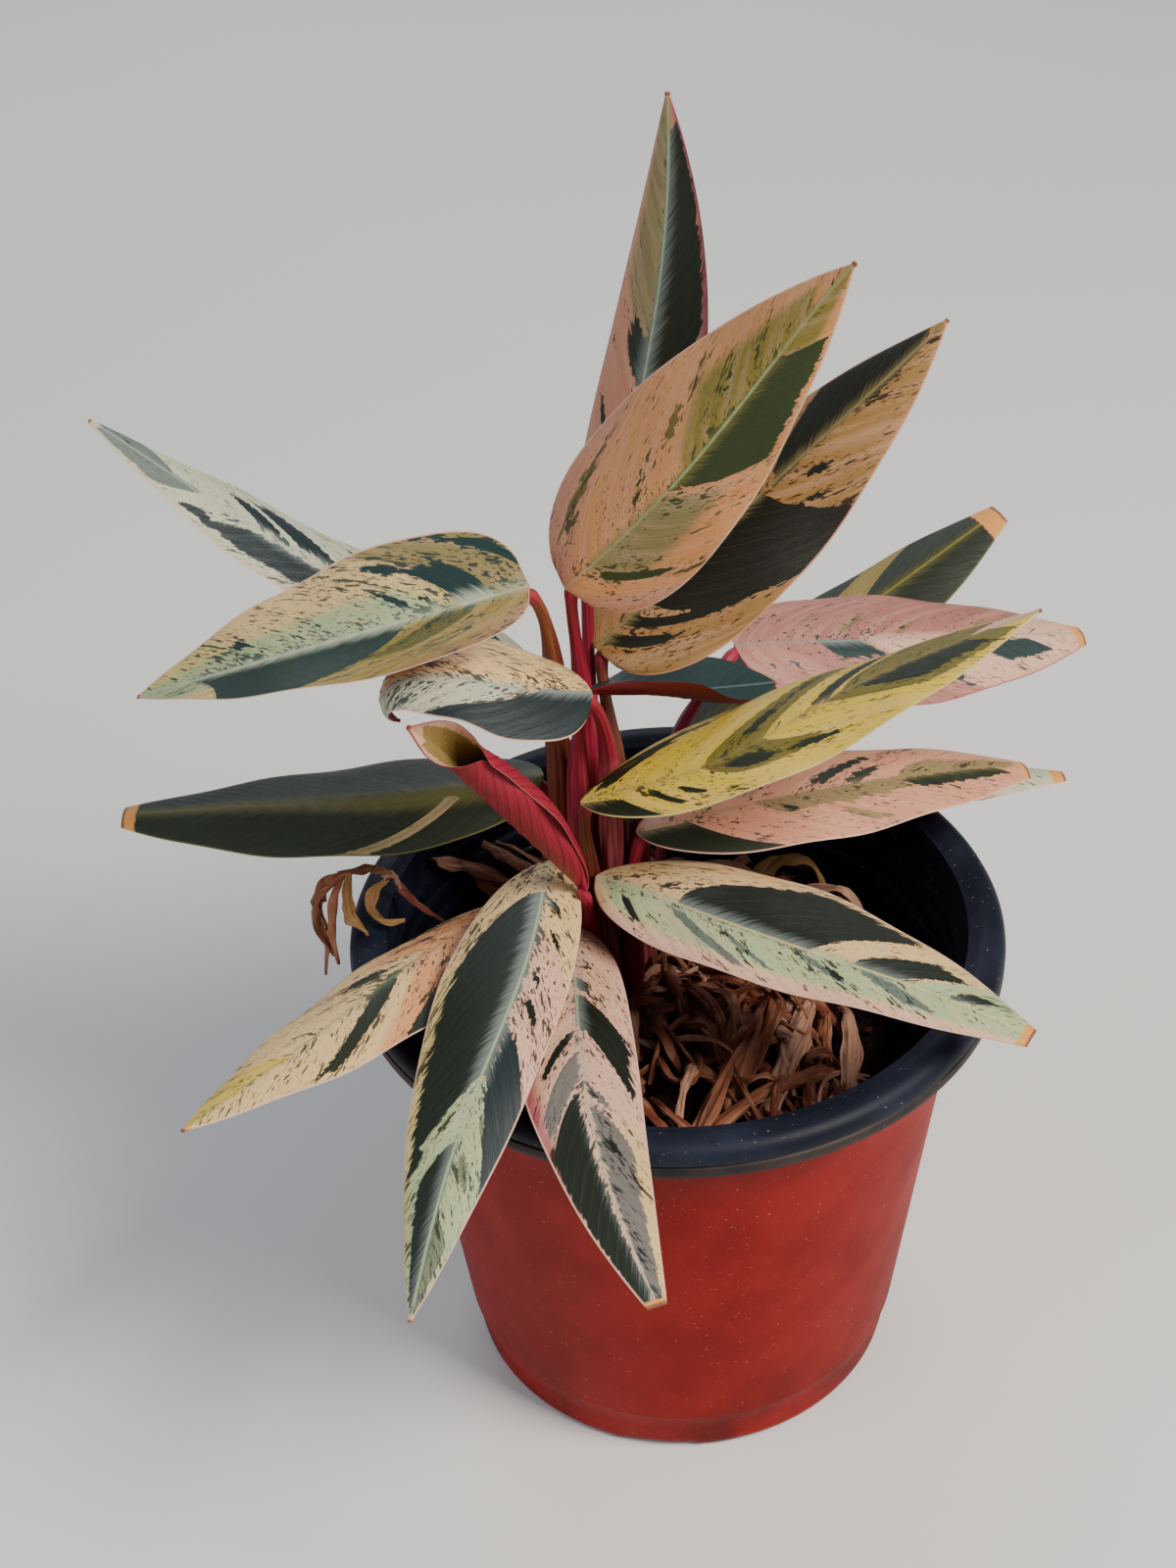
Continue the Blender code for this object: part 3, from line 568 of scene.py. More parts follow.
@dataclass(frozen=True)
class LeafLook:
    """How one leaf is coloured.

    ground is its pale colour and deep that of its dark patches, which have jagged ends. zones are
    soft changes of the pale colour, laid one over another, and halves are patches in the half
    colour, between pale and dark. rib tints the feathered band along the midrib, rib_width is its
    half width in millimetres, and line the midrib itself. flecks is how thickly dark dashes lie,
    from 0 to 1, edge is the margin's colour and under the underside's. lean shifts the midrib
    sideways at mid-length and sway bends it to one side and then to the other, both in
    millimetres. dry is how far the tip has dried, in millimetres.
    """

    ground: Tint
    deep: Tint
    darks: tuple[Patch, ...] = ()
    halves: tuple[Patch, ...] = ()
    zones: tuple[Patch, ...] = ()
    half: Tint = Tint.OLIVE
    rib: Tint = Tint.MIST
    line: Tint = Tint.MINT
    edge: Tint = Tint.BLUSH
    under: Tint = Tint.MAGENTA
    rib_width: float = 1.6
    flecks: float = 0.5
    lean: float = 0.0
    sway: float = 0.0
    dry: float = 1.0


LEFT, RIGHT = -1, 1

LOOKS: dict[str, LeafLook] = {
    "top": LeafLook(
        Tint.SALMON, Tint.FOREST, edge=Tint.ROSE, rib_width=2.2, flecks=0.35, lean=-1.5,
        half=Tint.KHAKI,
        darks=(Patch(RIGHT, 0.38, 0.92, outer=0.84), Patch(LEFT, 0.41, 0.51, 0.08, 0.45),
               Patch(LEFT, 0.21, 0.24, 0.5, 0.75)),
        halves=(Patch(RIGHT, 0.5, 0.56, 0.25, 0.5),),
        zones=(Patch(LEFT, 0.48, 1.0, outer=0.8, tint=Tint.KHAKI),
               Patch(RIGHT, -0.3, 1.0, 0.8, tint=Tint.ROSE))),
    "centre": LeafLook(
        Tint.PEACH, Tint.FERN, rib=Tint.BRASS, rib_width=1.0, flecks=0.6, lean=3.8,
        darks=(Patch(RIGHT, 0.365, 0.74, outer=0.86, drift=0.02),
               Patch(RIGHT, 0.055, 0.085, 0.2, 0.72), Patch(RIGHT, 0.32, 0.34, 0.06, 0.25),
               Patch(LEFT, 0.49, 0.51, 0.04, 0.2), Patch(LEFT, 0.54, 0.56, 0.2, 0.38),
               Patch(LEFT, 0.64, 0.66, 0.22, 0.45), Patch(LEFT, 0.0, 0.02, 0.62, 0.85),
               Patch(LEFT, 0.36, 0.38, 0.66, 0.8), Patch(LEFT, 0.24, 0.26, 0.12, 0.3)),
        halves=(Patch(LEFT, 0.31, 0.36, 0.33, 0.52), Patch(LEFT, -0.03, 0.03, 0.62, 0.82)),
        zones=(Patch(LEFT, 0.4, 0.86, outer=0.58, tint=Tint.BRASS),
               Patch(RIGHT, 0.7, 1.0, outer=0.6, tint=Tint.BRASS),
               Patch(RIGHT, 0.08, 0.34, outer=0.55, tint=Tint.KHAKI),
               Patch(RIGHT, -0.6, 0.0, tint=Tint.SALMON),
               Patch(LEFT, -0.6, 0.04, tint=Tint.SALMON))),
    "back_right": LeafLook(
        Tint.TAN, Tint.UMBER, half=Tint.RUST, rib=Tint.KHAKI, line=Tint.KHAKI, edge=Tint.SALMON,
        rib_width=0.8, flecks=0.6, lean=-1.0,
        darks=(Patch(RIGHT, 0.145, 0.48, drift=-0.07, spread=-0.12), Patch(LEFT, 0.5, 0.93),
               Patch(LEFT, 0.1, 0.42), Patch(RIGHT, 0.075, 0.105, outer=0.75),
               Patch(RIGHT, 0.02, 0.05, outer=0.6), Patch(RIGHT, 0.5, 0.55, 0.2, 0.42),
               Patch(RIGHT, 0.4, 0.43, 0.42, 0.62), Patch(RIGHT, 0.29, 0.32, 0.74, 0.95),
               Patch(RIGHT, 0.74, 0.9, 0.02, 0.14))),
    "far_left": LeafLook(
        Tint.FROST, Tint.SLATE, half=Tint.STEEL, line=Tint.FROST, rib_width=2.2, lean=-3.8,
        darks=(Patch(LEFT, 0.38, 0.61, 0.1, 0.74), Patch(LEFT, 0.6, 0.68, 0.5, 0.8),
               Patch(RIGHT, 0.4, 0.5, 0.1, 0.64), Patch(RIGHT, 0.53, 0.59, 0.08, 0.5),
               Patch(LEFT, 0.1, 0.3, outer=0.8), Patch(RIGHT, 0.05, 0.25, outer=0.6)),
        halves=(Patch(LEFT, 0.74, 0.97, outer=0.8), Patch(RIGHT, 0.8, 0.97, outer=0.9))),
    "left": LeafLook(
        Tint.STRAW, Tint.TEAL, rib=Tint.FROST, line=Tint.FROST, rib_width=1.9, flecks=0.8,
        lean=1.0,
        darks=(Patch(LEFT, 0.27, 0.84, drift=-0.12, spread=-0.28),
               Patch(RIGHT, 0.075, 0.15, outer=0.6, drift=-0.04),
               Patch(RIGHT, 0.225, 0.25, 0.15, 0.42), Patch(RIGHT, 0.18, 0.2, 0.05, 0.25),
               Patch(RIGHT, 0.11, 0.155, 0.58, 0.8), Patch(RIGHT, 0.58, 0.63, 0.32, 0.5),
               Patch(RIGHT, -0.08, -0.03, 0.5, 0.9), Patch(RIGHT, 0.18, 0.21, 0.84, 0.96)),
        halves=(Patch(LEFT, 0.1, 0.2, 0.05, 0.6),),
        zones=(Patch(LEFT, -0.5, 0.25, tint=Tint.BRASS), Patch(LEFT, -0.5, -0.02, tint=Tint.TAN),
               Patch(RIGHT, -0.5, 0.14, tint=Tint.KHAKI),
               Patch(RIGHT, 0.1, 0.62, 0.45, tint=Tint.CREAM),
               Patch(RIGHT, 0.2, 1.0, outer=0.42, tint=Tint.MINT),
               Patch(LEFT, 0.62, 1.0, tint=Tint.MINT))),
    "small_left": LeafLook(
        Tint.CREAM, Tint.SLATE, half=Tint.STEEL, line=Tint.MIST, rib_width=1.0, flecks=0.95,
        lean=-5.0,
        darks=(Patch(LEFT, -0.6, 0.2, spread=0.18),),
        zones=(Patch(LEFT, 0.25, 0.9, tint=Tint.FROST),)),
    # This leaf's underside is wine, darker than the other leaves' magenta: painted shade on its
    # underside.
    "dark_right": LeafLook(
        Tint.SAGE, Tint.TEAL, rib=Tint.TEAL, line=Tint.STEEL, edge=Tint.WINE, under=Tint.WINE,
        rib_width=0.6, flecks=0.0, dry=0.5,
        darks=(Patch(LEFT, -0.9, 1.2), Patch(RIGHT, -0.9, 1.2))),
    "striped_right": LeafLook(
        Tint.BRASS, Tint.FOREST, rib=Tint.OLIVE, line=Tint.BRASS, edge=Tint.OLIVE, rib_width=2.4,
        flecks=0.2, dry=6.0,
        darks=(Patch(LEFT, 0.56, 1.1), Patch(LEFT, -0.6, 0.4), Patch(RIGHT, -0.6, 1.1))),
    "pink_right": LeafLook(
        Tint.MAUVE, Tint.TEAL, half=Tint.KHAKI, line=Tint.MIST, edge=Tint.ROSE, rib_width=1.0,
        flecks=0.6, lean=1.0, dry=3.0,
        darks=(Patch(RIGHT, 0.22, 0.34, outer=0.28), Patch(RIGHT, 0.6, 0.8, 0.12, 0.58),
               Patch(RIGHT, 0.36, 0.4, 0.45, 0.75)),
        halves=(Patch(LEFT, 0.25, 0.28, 0.1, 0.4), Patch(LEFT, 0.42, 0.45, 0.05, 0.32),
                Patch(LEFT, 0.12, 0.15, 0.35, 0.6), Patch(LEFT, 0.6, 0.64, 0.2, 0.5)),
        zones=(Patch(RIGHT, 0.35, 1.0, tint=Tint.BLUSH), Patch(LEFT, 0.7, 1.0, tint=Tint.BLUSH))),
    # This leaf's butter-yellow ground is partly its own pale colour and partly painted light: the glow
    # of sun shining through the blade.
    "sunlit_right": LeafLook(
        Tint.BUTTER, Tint.FOREST, rib=Tint.KHAKI, line=Tint.KHAKI, edge=Tint.STRAW, rib_width=1.5,
        flecks=0.6, lean=0.6, sway=4.6,
        darks=(Patch(LEFT, 0.3, 0.35, 0.18, 0.45),
               Patch(LEFT, 0.49, 0.555, 0.04, 0.85, drift=-0.03),
               Patch(RIGHT, 0.58, 0.82, 0.1, 0.55), Patch(RIGHT, 0.28, 0.34, 0.15, 0.5),
               Patch(RIGHT, 0.33, 0.37, 0.5, 0.72), Patch(RIGHT, -0.08, 0.07, 0.3),
               Patch(RIGHT, 0.17, 0.19, 0.3, 0.7), Patch(RIGHT, 0.12, 0.14, 0.25, 0.75),
               Patch(LEFT, 0.02, 0.06, 0.3, 0.7), Patch(LEFT, 0.0, 0.03, 0.72, 0.95)),
        halves=(Patch(LEFT, 0.26, 0.4, outer=0.92), Patch(LEFT, 0.56, 0.84, outer=0.85),
                Patch(RIGHT, 0.53, 0.9, outer=0.74), Patch(RIGHT, 0.26, 0.39, outer=0.62)),
        zones=(Patch(LEFT, 0.84, 1.0, tint=Tint.BLUSH),)),
    "salmon_right": LeafLook(
        Tint.SALMON, Tint.FOREST, half=Tint.KHAKI, rib=Tint.KHAKI, line=Tint.KHAKI, rib_width=1.2,
        flecks=0.6, lean=3.8, dry=2.0,
        darks=(Patch(LEFT, 0.38, 0.44, 0.1, 0.58), Patch(LEFT, 0.48, 0.55, 0.03, 0.28),
               Patch(RIGHT, 0.62, 0.9, 0.04, 0.38), Patch(RIGHT, -0.08, 0.11, 0.12),
               Patch(RIGHT, 0.3, 0.33, 0.15, 0.32), Patch(LEFT, 0.08, 0.16, 0.2, 0.9)),
        halves=(Patch(RIGHT, 0.28, 0.62, outer=0.32), Patch(LEFT, 0.62, 0.95, outer=0.3),
                Patch(RIGHT, 0.36, 0.4, 0.45, 0.8))),
    "pale_right": LeafLook(
        Tint.FROST, Tint.TEAL, half=Tint.SAGE, rib_width=1.2, flecks=0.4, dry=4.0,
        darks=(Patch(RIGHT, 0.3, 0.6, outer=0.6), Patch(LEFT, 0.2, 0.45, outer=0.7),
               Patch(RIGHT, 0.72, 0.8, 0.1, 0.5))),
    "front_right": LeafLook(
        Tint.CREAM, Tint.BOTTLE, half=Tint.STEEL, line=Tint.STRAW, rib_width=1.7, flecks=0.6,
        lean=5.3, dry=2.5,
        darks=(Patch(LEFT, 0.21, 0.52, outer=0.9, drift=-0.11, spread=0.04),
               Patch(LEFT, 0.6, 0.71, outer=0.62, spread=0.04), Patch(LEFT, 0.8, 0.85, 0.05, 0.5),
               Patch(RIGHT, 0.53, 0.56, 0.25, 0.45), Patch(RIGHT, 0.06, 0.08, 0.3, 0.7),
               Patch(LEFT, 0.13, 0.15, 0.15, 0.3), Patch(LEFT, 0.06, 0.075, 0.35, 0.5),
               Patch(LEFT, 0.02, 0.035, 0.55, 0.7)),
        halves=(Patch(RIGHT, 0.16, 0.21, 0.1, 0.8, drift=0.12),
                Patch(RIGHT, 0.26, 0.29, 0.12, 0.72, drift=0.14),
                Patch(RIGHT, 0.36, 0.375, 0.15, 0.55, drift=0.14),
                Patch(RIGHT, 0.45, 0.5, 0.08, 0.5, drift=0.16),
                Patch(RIGHT, 0.6, 0.68, 0.05, 0.55, drift=0.12)),
        zones=(Patch(RIGHT, 0.02, 1.0, outer=0.72, tint=Tint.MINT),
               Patch(RIGHT, 0.0, 1.0, 0.72, tint=Tint.BLUSH),
               Patch(LEFT, 0.73, 1.0, tint=Tint.MINT))),
    "low_left": LeafLook(
        Tint.KHAKI, Tint.FOREST, rib=Tint.OLIVE, line=Tint.OLIVE, edge=Tint.OLIVE, rib_width=3.4,
        flecks=0.15, lean=-1.5, sway=-1.5, dry=3.5,
        darks=(Patch(LEFT, 0.22, 1.1), Patch(LEFT, -0.6, 0.18), Patch(RIGHT, -0.6, 1.1))),
    "rolled": LeafLook(
        Tint.BLUSH, Tint.FOREST, half=Tint.BRASS, rib=Tint.KHAKI, line=Tint.KHAKI, edge=Tint.ROSE,
        rib_width=2.0, flecks=0.3, dry=0.0,
        halves=(Patch(RIGHT, 0.3, 0.9, outer=0.6), Patch(LEFT, 0.3, 0.86, outer=0.45))),
    "front_left": LeafLook(
        Tint.CREAM, Tint.FOREST, rib=Tint.SAGE, line=Tint.SAGE, rib_width=0.9, flecks=0.8,
        lean=0.3, sway=1.3, dry=2.0,
        darks=(Patch(LEFT, 0.34, 0.43, outer=0.86, drift=0.12),
               Patch(RIGHT, 0.3, 0.36, 0.2, 0.55), Patch(RIGHT, 0.02, 0.055, 0.68, 0.95),
               Patch(LEFT, 0.02, 0.2, 0.55), Patch(RIGHT, 0.13, 0.15, 0.4, 0.6)),
        zones=(Patch(LEFT, -0.6, 0.3, tint=Tint.PEACH),
               Patch(RIGHT, -0.6, 0.24, outer=0.7, tint=Tint.PEACH),
               Patch(RIGHT, 0.7, 1.0, tint=Tint.BUTTER))),
    "front": LeafLook(
        Tint.CREAM, Tint.BOTTLE, half=Tint.SAGE, rib_width=2.1, flecks=0.75, lean=-3.3, sway=-1.5,
        darks=(Patch(RIGHT, 0.1, 0.55, outer=0.84, drift=-0.02, spread=0.06),
               Patch(RIGHT, 0.67, 0.97, outer=0.62), Patch(RIGHT, 0.58, 0.62, 0.62, 0.86),
               Patch(LEFT, 0.42, 0.54, 0.12, spread=0.1, tint=Tint.SLATE),
               Patch(LEFT, 0.1, 0.125, 0.2, 0.5), Patch(LEFT, 0.17, 0.19, 0.35, 0.62),
               Patch(LEFT, 0.28, 0.305, 0.2, 0.42), Patch(LEFT, 0.33, 0.36, 0.3, 0.58),
               Patch(RIGHT, 0.0, 0.02, 0.45, 0.7), Patch(RIGHT, 0.02, 0.04, 0.88, 0.97)),
        halves=(Patch(LEFT, 0.57, 0.6, 0.3, 0.7), Patch(LEFT, 0.66, 0.7, 0.2, 0.55),
                Patch(LEFT, 0.8, 0.98, 0.05, 0.7)),
        zones=(Patch(LEFT, 0.2, 0.44, tint=Tint.BLUSH), Patch(LEFT, 0.54, 1.0, tint=Tint.MINT),
               Patch(RIGHT, 0.5, 1.0, tint=Tint.MINT),
               Patch(RIGHT, 0.06, 1.0, 0.84, tint=Tint.STRAW))),
    "front_middle": LeafLook(
        Tint.BLUSH, Tint.BOTTLE, half=Tint.STEEL, flecks=0.65, lean=-0.8, sway=-0.8, dry=1.5,
        darks=(Patch(LEFT, 0.25, 0.34, outer=0.86, spread=0.08),
               Patch(LEFT, 0.19, 0.23, outer=0.28), Patch(LEFT, 0.6, 0.64, 0.2, 0.4),
               Patch(RIGHT, 0.5, 0.97, 0.12, 0.95), Patch(RIGHT, 0.345, 0.375, 0.1, 0.65),
               Patch(RIGHT, 0.01, 0.04, 0.6, 0.9), Patch(RIGHT, 0.12, 0.14, 0.62, 0.85),
               Patch(RIGHT, 0.06, 0.08, 0.25, 0.45)),
        halves=(Patch(RIGHT, 0.41, 0.49, 0.05, 0.8), Patch(LEFT, 0.5, 0.53, 0.05, 0.35),
                Patch(LEFT, 0.55, 1.0, 0.04, 0.66)),
        zones=(Patch(RIGHT, 0.26, 0.66, 0.76, tint=Tint.ROSE),
               Patch(RIGHT, -0.3, 0.18, 0.45, tint=Tint.STRAW),
               Patch(LEFT, 0.5, 1.0, 0.6, tint=Tint.CREAM))),
}


@dataclass(frozen=True)
class Blade:
    """One leaf blade: a thin closed sheet with a midrib, side veins and a waved margin.

    The midrib follows the leaf's heading and rise. Each half leaves it at its fold angle and bends
    evenly by its curl angle, so its cross-section is an arc.
    """

    name: str
    form: LeafForm
    look: LeafLook
    index: int
    thickness: float = 0.0005
    rows: int = 120
    half_columns: int = 13
    column_power: float = 0.85
    line_steps: int = 200
    tip_power: float = 0.9
    opening: tuple[float, float] = (0.68, 0.92)
    least_half_width: float = 0.0006
    least_bend_radius: float = 0.0013
    waves_along: float = 3.0
    wave_lag: float = 1.3
    vein_slope: tuple[float, float] = (0.5, 1.6)
    vein_bend: float = 0.7
    vein_spacing: float = 5.2
    vein_rise: float = 0.00016
    groove: float = 0.00035
    keel: float = 0.0006
    rib_half_width: float = 0.9
    seed_step: float = 40.0

    def direction(self, along: np.ndarray) -> np.ndarray:
        """Return the midrib's direction.

        Args:
            along: shares of the blade's length.

        Returns:
            A unit vector for each share. Its compass grows by swing times the share, and its
            slope falls by arch times the share to the power droop.
        """
        form = self.form
        heading = np.radians(form.heading + form.swing * along)
        rise = np.radians(form.rise - form.arch * along ** form.droop)
        level = np.cos(rise)
        return np.stack([level * np.cos(heading), level * np.sin(heading), np.sin(rise)], axis=-1)

    def midrib(self, along: np.ndarray) -> tuple[np.ndarray, np.ndarray, np.ndarray]:
        """Return the midrib's points and the ways to the right and up from it.

        Args:
            along: shares of the blade's length, in one row.

        Returns:
            The running sum of the direction, and the two unit vectors across it, which the roll
            and twist turn about it.
        """
        form = self.form
        fine = np.linspace(0.0, 1.0, self.line_steps + 1)
        ways = self.direction(fine)
        steps = form.length / self.line_steps * 0.5 * (ways[1:] + ways[:-1])
        line = np.vstack([np.zeros(3), np.cumsum(steps, axis=0)]) + np.array(form.base)
        points = np.stack([np.interp(along, fine, line[:, axis]) for axis in range(3)], axis=1)
        heading = np.radians(form.heading + form.swing * along)
        level = np.stack([np.sin(heading), -np.cos(heading), np.zeros_like(heading)], axis=1)
        above = np.cross(level, self.direction(along))
        turn = np.radians(form.roll + form.twist * along)[:, None]
        right = np.cos(turn) * level + np.sin(turn) * above
        return points, right, np.cos(turn) * above - np.sin(turn) * level

    def half_width(self, along: np.ndarray) -> np.ndarray:
        """Return the half width.

        Args:
            along: shares of the blade's length.

        Returns:
            Metres: the share to the power fullness, times the rest to the tip power, scaled so
            that the widest place has the leaf's width.
        """
        form = self.form
        peak = form.fullness / (form.fullness + self.tip_power)
        share = np.clip(along * form.cut, 1e-6, 1.0)
        outline = share ** form.fullness * np.clip(1.0 - share, 0.0, 1.0) ** self.tip_power
        outline = outline / (peak ** form.fullness * (1.0 - peak) ** self.tip_power)
        return np.maximum(0.5 * form.width * outline, self.least_half_width)

    def sheet(self, across: np.ndarray, along: np.ndarray) -> np.ndarray:
        """Return the middle surface.

        Args:
            across: shares from -1 at the left margin to 1 at the right one, of shape n, m.
            along: shares of the length, of shape n.

        Returns:
            Points of shape n, m, 3. A chord of an arc takes each half from the midrib outwards,
            and a low wave lifts its margin.
        """
        form = self.form
        points, right, up = (part[:, None, :] for part in self.midrib(along))
        side = np.sign(across)
        reach = np.abs(across)
        fold = np.radians(np.where(across < 0, form.fold[0], form.fold[1]))
        curl = np.radians(np.where(across < 0, form.curl[0], form.curl[1]))
        half = self.half_width(along)[:, None]
        curl = curl * (1.0 - form.opening * step_up(along, *self.opening)[:, None])
        curl = np.clip(curl, -half / self.least_bend_radius, half / self.least_bend_radius)
        angle = fold + 0.5 * curl * reach
        chord = half * reach * np.sinc(0.5 * curl * reach / math.pi)
        phase = 2.0 * math.pi * self.waves_along * along[:, None] + self.wave_lag * side
        ripple = form.wave * reach ** 2 * np.sin(phase)
        lift = chord * np.sin(angle) + ripple * np.sin(math.pi * along)[:, None]
        out = side * chord * np.cos(angle)
        if form.turned:
            centre = half / math.radians(0.5 * sum(form.curl))
            turned = math.radians(form.turned)
            out, lift = (out * math.cos(turned) - (lift - centre) * math.sin(turned),
                         out * math.sin(turned) + (lift - centre) * math.cos(turned) + centre)
        return points + out[..., None] * right + lift[..., None] * up

    def rib_shift(self, along: np.ndarray) -> np.ndarray:
        """Return how far the drawn midrib stands off the middle, as a share of the half width.

        Args:
            along: shares of the length.

        Returns:
            lean times a flattened half sine, plus sway times a whole sine, over the half width.
        """
        look = self.look
        bend = look.lean * np.sin(math.pi * along).clip(0.0) ** 0.7
        bend = bend + look.sway * np.sin(2.0 * math.pi * along)
        return bend / (0.5 * self.form.width * MM)

    def vein_places(self, across: np.ndarray, along: np.ndarray) -> dict[str, np.ndarray]:
        """Return where each point lies in the blade's own pattern.

        Args:
            across: shares across, of shape n, m.
            along: shares along, of shape n.

        Returns:
            Arrays of shape n, m: aside, the millimetres from the drawn midrib, reach, its share
            of the way to the margin, lead, the millimetres along the midrib where the point's
            side vein leaves it, and rim, the millimetres to the margin.

        A vein's way along grows with the distance aside, and more so towards the tip: lead is
        along, less slope times aside, less bend times aside squared over the greatest half width.
        """
        half = self.half_width(along)[:, None] * MM
        shift = self.rib_shift(along)[:, None] * half
        aside = across * half - shift
        room = np.where(aside < 0, half + shift, half - shift)
        reach = np.abs(aside) / room
        share = along[:, None]
        slope = self.vein_slope[0] + self.vein_slope[1] * share
        bent = self.vein_bend * aside ** 2 / half.max()
        lead = share * self.form.length * MM - slope * np.abs(aside) - bent
        return {"aside": aside, "reach": reach, "lead": lead, "rim": (1.0 - reach) * room}

    def patch_field(self, patch: Patch, places: dict[str, np.ndarray],
                    soft: float = 1.0) -> np.ndarray:
        """Return how deep each point lies in a patch, below 0 outside it.

        Args:
            patch: the patch.
            places: what vein_places() gives.
            soft: how much slower the depth grows across the veins than across the patch's ends.

        Returns:
            The least of the depths past its four sides. Depths past the two veins count double
            and those past its inner and outer ends count half, so jagged noise bites into the
            ends and leaves the veins' sides smooth.
        """
        length = self.form.length * MM
        room = self.form.width * 0.5 * MM
        lead, reach = places["lead"], places["reach"]
        low = patch.start + patch.drift * reach
        high = patch.end + (patch.drift + patch.spread) * reach
        depths = [
            2.0 / soft * (lead - low * length),
            2.0 / soft * (high * length - lead),
            0.5 * room * (patch.outer - reach),
            2.0 * places["aside"] * patch.side + 1.0,
        ]
        if patch.inner > 0.0:
            depths.append(0.5 * room * (reach - patch.inner))
        return np.minimum.reduce(depths)

    def colours(self, places: dict[str, np.ndarray]) -> dict[str, np.ndarray]:
        """Return the colours and pattern fields that the leaf's finish reads.

        Args:
            places: what vein_places() gives.

        Returns:
            ground, deep and half colours, and marks: how deep a point lies in the dark and in the
            half patches, and the flecks' thickness.
        """
        look = self.look
        shape = places["lead"].shape
        ground = np.broadcast_to(linear(look.ground), (*shape, 3)).copy()
        for zone in look.zones:
            share = step_up(self.patch_field(zone, places, soft=4.0), -1.0, 1.0)[..., None]
            ground += share * (linear(zone.tint) - ground)
        deep = np.broadcast_to(linear(look.deep), (*shape, 3)).copy()
        fields = []
        for patches in (look.darks, look.halves):
            field = np.full(shape, -9.0)
            for patch in patches:
                depth = self.patch_field(patch, places)
                if patch.tint is not None:
                    share = step_up(depth, -3.0, 0.0)[..., None]
                    deep += share * (linear(patch.tint) - deep)
                field = np.maximum(field, depth)
            fields.append(field)
        flecks = np.full(shape, look.flecks)
        return {"ground": ground, "deep": deep, "marks": np.stack([*fields, flecks], axis=-1)}

    def relief(self, places: dict[str, np.ndarray], column: np.ndarray,
               along: np.ndarray) -> tuple[np.ndarray, np.ndarray]:
        """Return how high the top stands and how far the keel hangs.

        Args:
            places: what vein_places() gives.
            column: shares across, of shape 1, m.
            along: shares along, of shape n.

        Returns:
            Two arrays of shape n, m. The top sinks along the midrib and swells between its side
            veins, and the keel runs under the midrib and thins towards the tip.
        """
        near_rib = np.exp(-(places["aside"] / self.rib_half_width) ** 2)
        fade = np.sin(math.pi * np.clip(along, 0.02, 0.98))[:, None] * (1.0 - column ** 4)
        swell = np.cos(2.0 * math.pi * places["lead"] / self.vein_spacing)
        relief = (self.vein_rise * swell * (1.0 - near_rib) - self.groove * near_rib) * fade
        keel = self.keel * near_rib * (1.0 - 0.7 * along[:, None]) * (1.0 - column ** 2)
        return relief, keel

    def values(self, places: dict[str, np.ndarray], along: np.ndarray) -> dict[str, np.ndarray]:
        """Return all the values that the leaf's finish reads on the top.

        Args:
            places: what vein_places() gives.
            along: shares along, of shape n.

        Returns:
            veins (lead, aside and rim), tip (the millimetres to the tip, the dried length and the
            midrib's width), the pattern's colours and fields, and the leaf's plain colours.
        """
        look = self.look
        ones = np.ones(places["lead"].shape)
        to_tip = (1.0 - along)[:, None] * (self.form.length * MM) * ones
        lead = places["lead"] + self.seed_step * self.index
        rib_width = look.rib_width * (1.15 - along[:, None]) * ones
        values = {
            "veins": np.stack([lead, places["aside"], places["rim"]], axis=-1),
            "tip": np.stack([to_tip, look.dry * ones, rib_width], axis=-1),
            **self.colours(places),
        }
        for key, tint in (("half", look.half), ("rib", look.rib), ("line", look.line),
                          ("edge", look.edge), ("under", look.under)):
            values[key] = np.broadcast_to(linear(tint), (*ones.shape, 3))
        return values

    def surface(self) -> Surface:
        """Return the blade's closed sheet with the values that its finish reads.

        The top and the underside stand off the middle surface by half the thickness, which goes
        to nothing at the margin as a circle does.
        """
        half = np.linspace(0.0, 1.0, self.half_columns + 1) ** self.column_power
        column = np.concatenate([-half[:0:-1], half])[None, :]
        along = np.linspace(0.0, 1.0, self.rows)
        across = column + self.rib_shift(along)[:, None] * (1.0 - column ** 2)
        middle = self.sheet(across, along)
        normal = np.cross(np.gradient(middle, axis=1), np.gradient(middle, axis=0))
        normal /= np.linalg.norm(normal, axis=2, keepdims=True)
        places = self.vein_places(across, along)
        rounded = 0.5 * self.thickness * np.sqrt(np.clip(1.0 - column ** 8, 0.0, 1.0))
        relief, keel = self.relief(places, column, along)
        top = middle + (rounded + relief)[..., None] * normal
        bottom = middle - (rounded - relief + keel)[..., None] * normal
        back = slice(-2, 0, -1)
        values = {name: np.concatenate([value, value[:, back]], axis=1)
                  for name, value in self.values(places, along).items()}
        below = bottom[:, back]
        values["below"] = np.concatenate([np.zeros(top.shape[:2]), np.ones(below.shape[:2])], axis=1)
        return tube(np.concatenate([top, below], axis=1), values)

    def build(self, finish: bpy.types.Material) -> None:
        """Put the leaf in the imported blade's place, dressed in its finish."""
        leaf = self.surface().to_object("leaf_" + self.name, finish, "leaf")
        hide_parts("blade_" + self.name)


